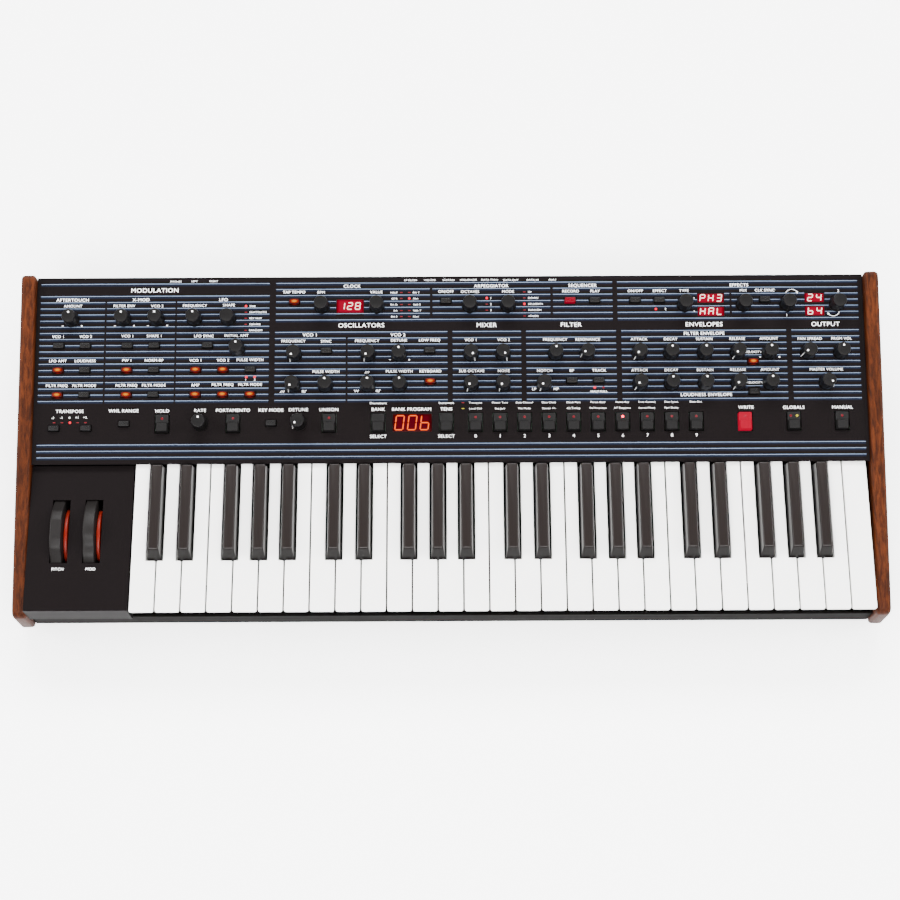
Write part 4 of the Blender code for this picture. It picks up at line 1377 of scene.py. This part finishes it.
LABELS = {
    TITLE: (
        ("MODULATION", -279.0, 27.3),
        ("OSCILLATORS", -83.7, 21.35),
        ("MIXER", 34.4, 21.3),
        ("FILTER", 114.0, 21.3),
        ("ENVELOPES", 239.3, 21.25),
        ("OUTPUT", 353.7, 21.2),
    ),
    SECTION: (
        ("AFTERTOUCH", -356.4, 25.75),
        ("X-MOD", -291.8, 25.75),
        ("LFO", -214.0, 25.7),
        ("CLOCK", -92.5, 27.85),
        ("ARPEGGIATOR", 39.1, 27.8),
        ("SEQUENCER", 125.4, 27.8),
        ("EFFECTS", 273.3, 27.75),
        ("VCO 1", -131.8, 19.8),
        ("VCO 2", -49.1, 19.75),
        ("FILTER ENVELOPE", 239.1, 19.75),
        ("LOUDNESS ENVELOPE", 239.6, 9.7),
        ("TRANSPOSE", -356.0, 7.45),
        ("WHL RANGE", -305.6, 7.5),
        ("HOLD", -269.6, 7.45),
        ("RATE", -234.2, 7.5),
        ("PORTAMENTO", -203.4, 7.5),
        ("KEY MODE", -167.9, 7.5),
        ("DETUNE", -142.2, 7.55),
        ("UNISON", -113.7, 7.55),
        ("BANK", -67.6, 7.55),
        ("BANK PROGRAM", -36.4, 7.55),
        ("TENS", -3.9, 7.55),
        ("WRITE", 276.3, 7.6),
        ("GLOBALS", 320.9, 7.55),
        ("MANUAL", 366.4, 7.55),
        ("SELECT", -67.5, 3.15),
        ("SELECT", -3.9, 3.15),
    )
    + tuple((str(n), NUMBER_START + NUMBER_PITCH * n, 3.15) for n in range(10)),
    LABEL: (
        ("AMOUNT", -356.0, 24.75),
        ("FILTER ENV", -307.6, 24.75),
        ("VCO 2", -276.4, 24.7),
        ("FREQUENCY", -240.9, 24.75),
        ("SHAPE", -208.8, 24.8),
        ("TAP TEMPO", -147.3, 26.9),
        ("BPM", -121.8, 26.85),
        ("VALUE", -69.5, 26.85),
        ("ON/OFF", -3.8, 26.9),
        ("OCTAVES", 19.0, 26.85),
        ("MODE", 54.9, 26.85),
        ("RECORD", 114.1, 26.85),
        ("PLAY", 137.2, 26.85),
        ("ON/OFF", 175.2, 26.85),
        ("EFFECT", 198.3, 26.85),
        ("TYPE", 221.3, 26.85),
        ("MIX", 277.2, 26.85),
        ("CLK SYNC", 297.6, 26.85),
        ("1", 317.7, 22.7),
        ("2", 367.0, 26.7),
        ("VCO 1", -369.0, 19.7),
        ("VCO 2", -343.1, 19.7),
        ("VCO 1", -303.7, 19.75),
        ("SHAPE 1", -278.4, 19.75),
        ("LFO SYNC", -231.9, 19.7),
        ("INITIAL AMT", -201.3, 19.75),
        ("LFO AMT", -368.7, 15.7),
        ("LOUDNESS", -343.1, 15.7),
        ("PW 1", -303.7, 15.75),
        ("NORM-BP", -278.4, 15.75),
        ("VCO 1", -239.1, 15.7),
        ("VCO 2", -213.5, 15.7),
        ("PULSE WIDTH", -188.1, 15.75),
        ("FILTR FREQ", -369.0, 11.65),
        ("FILTR MODE", -343.3, 11.65),
        ("FILTR FREQ", -303.7, 11.65),
        ("FILTR MODE", -278.0, 11.65),
        ("AMP", -239.1, 11.65),
        ("FILTR FREQ", -213.5, 11.7),
        ("FILTR MODE", -187.7, 11.7),
        ("FREQUENCY", -147.6, 18.8),
        ("SYNC", -116.7, 18.75),
        ("FREQUENCY", -78.2, 18.8),
        ("DETUNE", -48.2, 18.85),
        ("LOW FREQ", -19.4, 18.85),
        ("PULSE WIDTH", -116.7, 13.75),
        ("PULSE WIDTH", -47.8, 13.75),
        ("KEYBOARD", -18.7, 13.75),
        ("VCO 1", 19.6, 18.85),
        ("VCO 2", 50.4, 18.85),
        ("SUB OCTAVE", 20.0, 13.75),
        ("NOISE", 50.2, 13.75),
        ("FREQUENCY", 98.8, 18.85),
        ("RESONANCE", 129.4, 18.85),
        ("NOTCH", 88.6, 13.75),
        ("BP", 114.0, 13.75),
        ("TRACK", 139.6, 13.75),
        ("LP", 78.4, 10.75),
        ("HP", 99.0, 10.75),
        ("PAN SPREAD", 338.3, 18.8),
        ("PRGM VOL", 368.2, 18.8),
        ("MASTER VOLUME", 352.8, 13.75),
    )
    + tuple(
        (word.upper(), x + 0.3, row)
        for x, (word, _) in zip(ENVELOPE_XS, ENVELOPE_KNOBS)
        for row in (18.85, 13.75)
    ),
    SMALL: (
        ("VELOCITY", 285.0, 16.65),
        ("VELOCITY", 285.2, 11.65),
        ("HALF", 135.2, 10.3),
        ("FULL", 143.6, 10.3),
        ("Decrement", -67.6, 8.55),
        ("Increment", -3.9, 8.55),
        ("2", 203.4, 23.8),
        ("1", -191.9, 12.5),
        ("2", -183.6, 12.5),
        ("-2", -371.8, 6.4),
        ("-1", -363.6, 6.4),
        ("0", -356.1, 6.4),
        ("+1", -349.0, 6.45),
        ("+2", -341.6, 6.45),
    )
    + tuple((str(3 - i), 38.6, 23.75 + i) for i in range(3)),
    TINY: (
        ("PHONES", -259.4, 28.75),
        ("LEFT", -241.7, 28.8),
        ("RIGHT", -223.6, 28.8),
        ("LP FILTER", -37.1, 28.8),
        ("VOLUME", -18.9, 28.8),
        ("SUSTAIN", -1.2, 28.8),
        ("SEQUENCER", 17.6, 28.8),
        ("DATA THRU", 37.6, 28.8),
        ("DATA OUT", 57.6, 28.75),
        ("DATA IN", 78.3, 28.75),
        ("PORT", 97.2, 28.75),
    ),
}

SLOW_SHAPES = ("SINE", "SAWTOOTH", "REV SAW", "SQUARE", "RANDOM")

# Words beside the lamps: those that start at a place and those that end at one.
LEFT_ALIGNED = (
    tuple((word, -189.4, 24.6 - i) for i, word in enumerate(SLOW_SHAPES))
    + tuple((word, -35.1, 26.75 - i) for i, word in enumerate(("8th T", "16th", "16th S", "16th T", "32nd")))
    + tuple((word, 73.8, 26.75 - i) for i, word in enumerate(("UP", "DOWN", "UP-DOWN", "RANDOM", "ASSIGN")))
)
RIGHT_ALIGNED = tuple(
    (word, -49.6, 26.75 - i) for i, word in enumerate(("HALF", "QTR", "8th D", "8th", "8th S"))
)
UPPER_FUNCTIONS = (
    "Transpose", "Master Tune", "Data Channel", "Data Clock", "Clock Port",
    "Param Xmit", "Param Rcv", "Data Control", "Data Sysex", "Data Out",
)
LOWER_FUNCTIONS = (
    "Local Ctrl", "Seq Jack", "Pot Mode", "Sustain +/-", "Alt Tuning",
    "Vel Response", "AT Response", "Stereo/Mono", "Pgm Dump",
)


def letter_points(text, align, bold):
    """The filled outline of a word in the plain font: points with capitals one unit high, and faces."""
    curve = bpy.data.curves.new("lettering", "FONT")
    curve.body = text
    curve.align_x = align
    curve.offset = bold
    curve.resolution_u = 3
    curve.space_character = 1.06
    drawn = bpy.data.objects.new("lettering", curve)
    bpy.context.scene.collection.objects.link(drawn)
    graph = bpy.context.evaluated_depsgraph_get()
    mesh = bpy.data.meshes.new_from_object(drawn.evaluated_get(graph))
    points = np.zeros(len(mesh.vertices) * 3)
    mesh.vertices.foreach_get("co", points)
    faces = [tuple(polygon.vertices) for polygon in mesh.polygons]
    bpy.data.objects.remove(drawn, do_unlink=True)
    bpy.data.meshes.remove(mesh)
    return points.reshape(-1, 3)[:, :2] / 0.70, faces


def add_word(shell, text, x, t, style, align="CENTER", level=0.06, bold=-0.002):
    """A word whose capitals are centred on t."""
    height, wide = style
    points, faces = letter_points(text, align, bold)
    flat = np.column_stack([x + points[:, 0] * height * wide, t + (points[:, 1] - 0.5) * height])
    flat = np.column_stack([flat, np.full(len(flat), level)])
    shell.points.append(flat)
    shell.faces += [tuple(corner + shell.count for corner in face) for face in faces]
    shell.slots += [0] * len(faces)
    shell.count += len(flat)


def curved_arrow(shell, x, t, radius, start, end):
    """An arc of even width with a triangular head at its end, angles in degrees from +x."""
    angle = np.radians(np.linspace(start, end, 20))
    ring = [
        np.column_stack([x + r * np.cos(angle), t + 0.8 * r * np.sin(angle), np.full(20, 0.06)])
        for r in (radius - 0.22, radius + 0.22)
    ]
    order = np.sign(end - start)
    strip = ring if order < 0 else ring[::-1]
    shell.rings(np.array(strip), caps=False, seam=False)
    tip = angle[-1] + order * 0.42
    polar = ((radius - 1.1, angle[-1]), (radius + 1.1, angle[-1]), (radius, tip))
    head = [(r * math.cos(a), r * math.sin(a)) for r, a in polar]
    points = np.array([(x + u, t + 0.8 * v, 0.06) for u, v in head])
    shell.add(points, [np.array([[0, 1, 2] if order > 0 else [0, 2, 1]])])


def wave_mark(shell, x, t, kind):
    """A small waveform drawn as a thin zigzag: sawtooth, triangle or square."""
    shapes = {
        "saw": [(-2, -1), (-0.9, 1), (-0.7, -1), (0.5, 1), (0.7, -1), (2, 1)],
        "triangle": [(-2.2, 1), (-1.2, -1), (-0.2, 1), (0.8, -1), (1.8, 1)],
        "square": [(-2, -1), (-1.9, 1), (-0.7, 1), (-0.6, -1), (0.6, -1), (0.7, 1), (2, 1)],
    }
    path = np.array(shapes[kind], float)
    ahead = np.gradient(path, axis=0)
    ahead /= np.linalg.norm(ahead, axis=1)[:, None]
    side = np.column_stack([-ahead[:, 1], ahead[:, 0]]) * 0.26
    rails = [np.column_stack([(x, t) + path + sign * side, np.full(len(path), 0.06)]) for sign in (-1, 1)]
    shell.rings(np.array(rails), caps=False, seam=False)


class SYNTH_OT_print(bpy.types.Operator):
    """Print the stripes and the plain functional lettering on the panel"""

    bl_idname = "synth.lettering"
    bl_label = "Print"

    def execute(self, context):
        width = sizes().stripe_width
        runs = stripe_runs()
        navy = flat_strips(runs, 2.9, -0.75, 0.02)
        make_piece("print_navy", navy, "root", [print_ink("navy")])
        blue = flat_strips(runs, width, 0.0, 0.04)
        make_piece("print_stripes", blue, "root", [print_ink("blue")])
        shell = Shell()
        for style, words in LABELS.items():
            for text, x, row in words:
                add_word(shell, text, x, stripe(row), style)
        for text, x, row in LEFT_ALIGNED:
            add_word(shell, text, x, stripe(row), TINY, "LEFT")
        for text, x, row in RIGHT_ALIGNED:
            add_word(shell, text, x, stripe(row), TINY, "RIGHT")
        for names, row in ((UPPER_FUNCTIONS, 8.55), (LOWER_FUNCTIONS, 7.6)):
            for index, text in enumerate(names):
                add_word(shell, text, NUMBER_START + NUMBER_PITCH * index, stripe(row), TINY)
        for x, row in ((-356.8, 21.45), (-307.6, 21.45), (-276.4, 21.45), (-48.2, 15.65), (299.6, 15.8)):
            revolve(shell, [(0.7, 0.02), (0.7, 0.07)], 14, (x + 9.6, stripe(row)))
            shell.add(
                [(x - 9.2, stripe(row) - 0.25, 0.06), (x - 7.5, stripe(row) - 0.25, 0.06),
                 (x - 7.5, stripe(row) + 0.25, 0.06), (x - 9.2, stripe(row) + 0.25, 0.06)],
                [np.array([[0, 1, 2, 3]])],
            )
        for x, row, kind in (
            (-157.4, 10.5, "saw"), (-136.8, 10.5, "square"), (-87.9, 10.55, "triangle"),
            (-67.5, 10.55, "square"), (-78.0, 13.6, "saw"),
        ):
            wave_mark(shell, x, stripe(row), kind)
        for row in (25.6, 23.4):
            revolve(shell, [(0.6, 0.02), (0.6, 0.07)], 3, (230.6, stripe(row)))
        curved_arrow(shell, 323.0, stripe(26.2), 5.6, 165.0, 30.0)
        curved_arrow(shell, 361.5, stripe(23.3), 5.6, 0.0, -140.0)
        make_piece("print_lettering", shell.tilt(), "root", [print_ink("white")])
        wheels = Shell()
        low, high = box_mm("wheel_panel")
        for joint, text in (("bend_wheel_turn", "PITCH"), ("mod_wheel_turn", "MOD")):
            x = JOINTS[joint]["pos_m"][0] / MM
            add_word(wheels, text, x, low[1] + 39.4, LABEL, level=high[2] + 0.06)
        make_piece("print_wheel_words", wheels, "root", [print_ink("white")])
        return {"FINISHED"}


# ---------------------------------------------------------------------------------------------
# Rear sockets and feet
# ---------------------------------------------------------------------------------------------
def face_back(shell, x, y, z):
    """Turn a shape drawn looking at its face (u, v, out) so that it faces the back wall."""
    points = np.concatenate(shell.points)
    shell.points = [np.column_stack([x - points[:, 0], y + points[:, 2], z + points[:, 1]])]
    return shell


REAR_Z = 52.0
REAR_JACKS = (-259.4, -241.7, -223.6, -37.1, -18.9, -1.2, 16.5)
ROUND_SOCKETS = (37.0, 57.6, 78.3)
PORT_X = 97.2


INLET_X = 330.0
SWITCH_X = 300.0
FOOT_X = 363.0
FOOT_Y = 129.5
FOOT_PROFILE = ((9.4, 0.05), (9.9, 0.4), (10.1, 1.2), (10.1, 7.2), (9.7, 8.6), (9.3, 8.95))


def rear_piece(name, shell, x, wall, *finishes):
    """A piece on the back wall at x, drawn looking at its face."""
    make_piece(name, face_back(shell, x, wall, REAR_Z), "root", list(finishes))


class SYNTH_OT_rear(bpy.types.Operator):
    """Make the sockets on the back and the feet below"""

    bl_idname = "synth.rear"
    bl_label = "Rear and feet"

    def execute(self, context):
        wall = box_mm("chassis_pan")[1][1] - 3.0
        for index, x in enumerate(REAR_JACKS):
            jack = Shell()
            hexagon = [(7.2 * math.cos(k * TAU / 6), 7.2 * math.sin(k * TAU / 6)) for k in range(6)]
            slab(jack, rounded(hexagon, 0.8, 3), 0.1, 2.4, 0.4, 0.1, steps=2, slot=0)
            revolve(jack, [(5.9, 1.0), (5.9, 3.3), (5.4, 3.7), (3.4, 3.7), (3.25, 3.2)], 32, slot=0)
            revolve(jack, [(3.2, 3.0), (3.2, 3.72)], 24, slot=1)
            rear_piece(f"jack_{index + 1}", jack, x, wall, nickel_plate(), dark_rubber())
        for index, x in enumerate(ROUND_SOCKETS):
            socket = Shell()
            slab(socket, rectangle((-9.5, -8.0), (9.5, 8.0), 1.5, 4), 0.05, 1.2, 0.4, 0.1, steps=2)
            ring = [(7.4, 0.8), (7.4, 1.9), (7.0, 2.2), (6.2, 2.2), (6.1, 1.6), (5.9, 1.5)]
            revolve(socket, ring, 40, slot=1)
            for pin in np.radians((180.0, 225.0, 270.0, 315.0, 360.0)):
                spot = (4.0 * math.cos(pin), 4.0 * math.sin(pin) + 1.2)
                revolve(socket, [(0.75, 1.3), (0.75, 1.75)], 12, spot, 2)
            finishes = [button_plastic(), dark_rubber(), nickel_plate()]
            rear_piece(f"data_socket_{index + 1}", socket, x, wall, *finishes)
        port = Shell()
        slab(port, rectangle((-6.2, -5.6), (6.2, 5.6), 0.8, 3), 0.05, 1.4, 0.3, 0.1, steps=2)
        slab(port, rectangle((-4.3, -3.9), (4.3, 3.9), 0.5, 3), 1.3, 1.6, 0.05, 0.05, steps=2, slot=1)
        rear_piece("data_port", port, PORT_X, wall, nickel_plate(), dark_rubber())
        inlet = Shell()
        slab(inlet, rectangle((-15.5, -12.5), (15.5, 12.5), 2.0, 4), 0.05, 2.2, 0.6, 0.1, steps=3)
        mouth = [(-12.0, -8.0), (12.0, -8.0), (12.0, 4.0), (7.5, 8.5), (-7.5, 8.5), (-12.0, 4.0)]
        slab(inlet, rounded(mouth, 0.8, 3), 2.1, 2.45, 0.1, 0.1, steps=2, slot=1)
        for u, v in ((-7.0, -1.5), (0.0, 2.5), (7.0, -1.5)):
            blade = rectangle((u - 0.9, v - 2.0), (u + 0.9, v + 2.0), 0.3, 2)
            slab(inlet, blade, 2.3, 3.0, 0.2, 0.1, steps=2, slot=2)
        rear_piece("mains_inlet", inlet, INLET_X, wall, button_plastic(), dark_rubber(), nickel_plate())
        switch = Shell()
        slab(switch, rectangle((-7.5, -10.5), (7.5, 10.5), 1.2, 4), 0.05, 1.8, 0.5, 0.1, steps=3)
        rings = []
        for share in np.linspace(0.0, 1.0, 5):
            u, v = 5.5 - 0.4 * share, 8.5 - 0.5 * share
            flat = rectangle((-u, -v), (u, v), 0.6, 3)
            bulge = 1.6 + 0.11 * flat[:, 1] + 0.01 * flat[:, 1] ** 2
            rings.append(np.column_stack([flat, 1.6 + share * bulge]))
        switch.rings(rings, 1)
        rear_piece("power_switch", switch, SWITCH_X, wall, button_plastic(), knob_plastic())
        feet = [(x, y) for y in (-FOOT_Y, FOOT_Y) for x in (-FOOT_X, FOOT_X)]
        for index, spot in enumerate(feet):
            foot = Shell()
            revolve(foot, FOOT_PROFILE, 40, spot)
            make_piece(f"foot_{index + 1}", foot, "root", [dark_rubber()])
        return {"FINISHED"}


# ---------------------------------------------------------------------------------------------
# Stage
# ---------------------------------------------------------------------------------------------
# The camera stands high in front of the player's side and looks steeply down. Its place is in
# metres, its turn in degrees (pitch, yaw, roll) and its lens in millimetres.
CAMERA_PLACE = (0.0005, -0.54995, 1.68195)
CAMERA_TURN = (71.399, -0.119, -0.39)
CAMERA_LENS = 72.78

# The floor is a square this far to each side, just below the feet, in millimetres.
FLOOR_HALF = 6000.0
FLOOR_LEVEL = -0.3


class SYNTH_OT_stage(bpy.types.Operator):
    """Make the floor, the lights and the camera"""

    bl_idname = "synth.stage"
    bl_label = "Stage"

    def execute(self, context):
        scene = context.scene
        floor = Shell()
        points = [(x, y, FLOOR_LEVEL) for x, y in ((-1, -1), (1, -1), (1, 1), (-1, 1))]
        points = np.array(points) * (FLOOR_HALF, FLOOR_HALF, 1.0)
        floor.add(points, [np.array([[0, 1, 2, 3]])])
        mesh = bpy.data.meshes.new("studio_floor")
        mesh.from_pydata(np.concatenate(floor.points) * MM, [], floor.faces)
        mesh.materials.append(studio_floor())
        plane = bpy.data.objects.new("studio_floor", mesh)
        scene.collection.objects.link(plane)

        world = bpy.data.worlds.new("studio")
        world.use_nodes = True
        background = world.node_tree.nodes["Background"]
        background.inputs["Color"].default_value = (1.0, 1.0, 1.0, 1.0)
        background.inputs["Strength"].default_value = 0.6
        scene.world = world

        # name, place, aim, size and power in watts
        lamps = (
            ("left_softbox", (-2.7, 0.2, 2.0), (0.0, 0.0, 0.0), (1.6, 1.6), 165.0),
            ("right_softbox", (2.7, 0.2, 2.0), (0.0, 0.0, 0.0), (1.6, 1.6), 165.0),
            ("front_softbox", (0.0, -1.7, 2.4), (0.0, 0.0, 0.0), (3.0, 1.0), 300.0),
            ("back_softbox", (0.0, 2.2, 2.4), (0.0, 0.0, 0.0), (3.0, 1.0), 320.0),
        )
        for name, place, aim, size, power in lamps:
            light = bpy.data.lights.new(name, "AREA")
            light.shape = "RECTANGLE"
            light.size, light.size_y = size
            light.energy = power
            lamp = bpy.data.objects.new(name, light)
            from_aim = np.array(place) - np.array(aim)
            lamp.location = place
            tilted = math.atan2(math.hypot(from_aim[0], from_aim[1]), from_aim[2])
            lamp.rotation_euler = (tilted, 0.0, math.atan2(from_aim[0], -from_aim[1]))
            scene.collection.objects.link(lamp)

        camera = bpy.data.cameras.new("camera")
        camera.lens = CAMERA_LENS
        camera.sensor_width = 36.0
        camera.clip_end = 50.0
        eye = bpy.data.objects.new("camera", camera)
        eye.location = CAMERA_PLACE
        pitch, yaw, roll = (math.radians(angle) for angle in CAMERA_TURN)
        aim = Euler((math.pi / 2 - pitch, 0.0, -yaw), "XYZ").to_matrix() @ Matrix.Rotation(roll, 3, "Z")
        eye.rotation_euler = aim.to_euler()
        scene.collection.objects.link(eye)
        scene.camera = eye
        return {"FINISHED"}


class SYNTH_PT_panel(bpy.types.Panel):
    """Lists the operators and the sizes and colours"""

    bl_idname = "SYNTH_PT_panel"
    bl_label = "Synthesizer"
    bl_space_type = "VIEW_3D"
    bl_region_type = "UI"
    bl_category = "Synthesizer"

    def draw(self, context):
        layout = self.layout
        for operator in OPERATORS:
            layout.operator(operator.bl_idname)
        for group in (context.scene.synth_sizes, context.scene.synth_colours):
            for name in group.__annotations__:
                layout.prop(group, name)


OPERATORS = (
    SYNTH_OT_stage,
    SYNTH_OT_case,
    SYNTH_OT_keys,
    SYNTH_OT_wheels,
    SYNTH_OT_knobs,
    SYNTH_OT_buttons,
    SYNTH_OT_displays,
    SYNTH_OT_print,
    SYNTH_OT_rear,
)
CLASSES = (SynthSizes, SynthColours) + OPERATORS + (SYNTH_PT_panel,)


def register():
    """Add the classes and hang the two groups on the scene."""
    for cls in CLASSES:
        bpy.utils.register_class(cls)
    bpy.types.Scene.synth_sizes = bpy.props.PointerProperty(type=SynthSizes)
    bpy.types.Scene.synth_colours = bpy.props.PointerProperty(type=SynthColours)


def unregister():
    """Take away what register added."""
    del bpy.types.Scene.synth_colours
    del bpy.types.Scene.synth_sizes
    for cls in reversed(CLASSES):
        bpy.utils.unregister_class(cls)


def main():
    register()
    bpy.ops.synth.stage()
    bpy.ops.synth.case()
    bpy.ops.synth.keys()
    bpy.ops.synth.wheels()
    bpy.ops.synth.knobs()
    bpy.ops.synth.buttons()
    bpy.ops.synth.displays()
    bpy.ops.synth.lettering()
    bpy.ops.synth.rear()


if __name__ == "__main__":
    main()
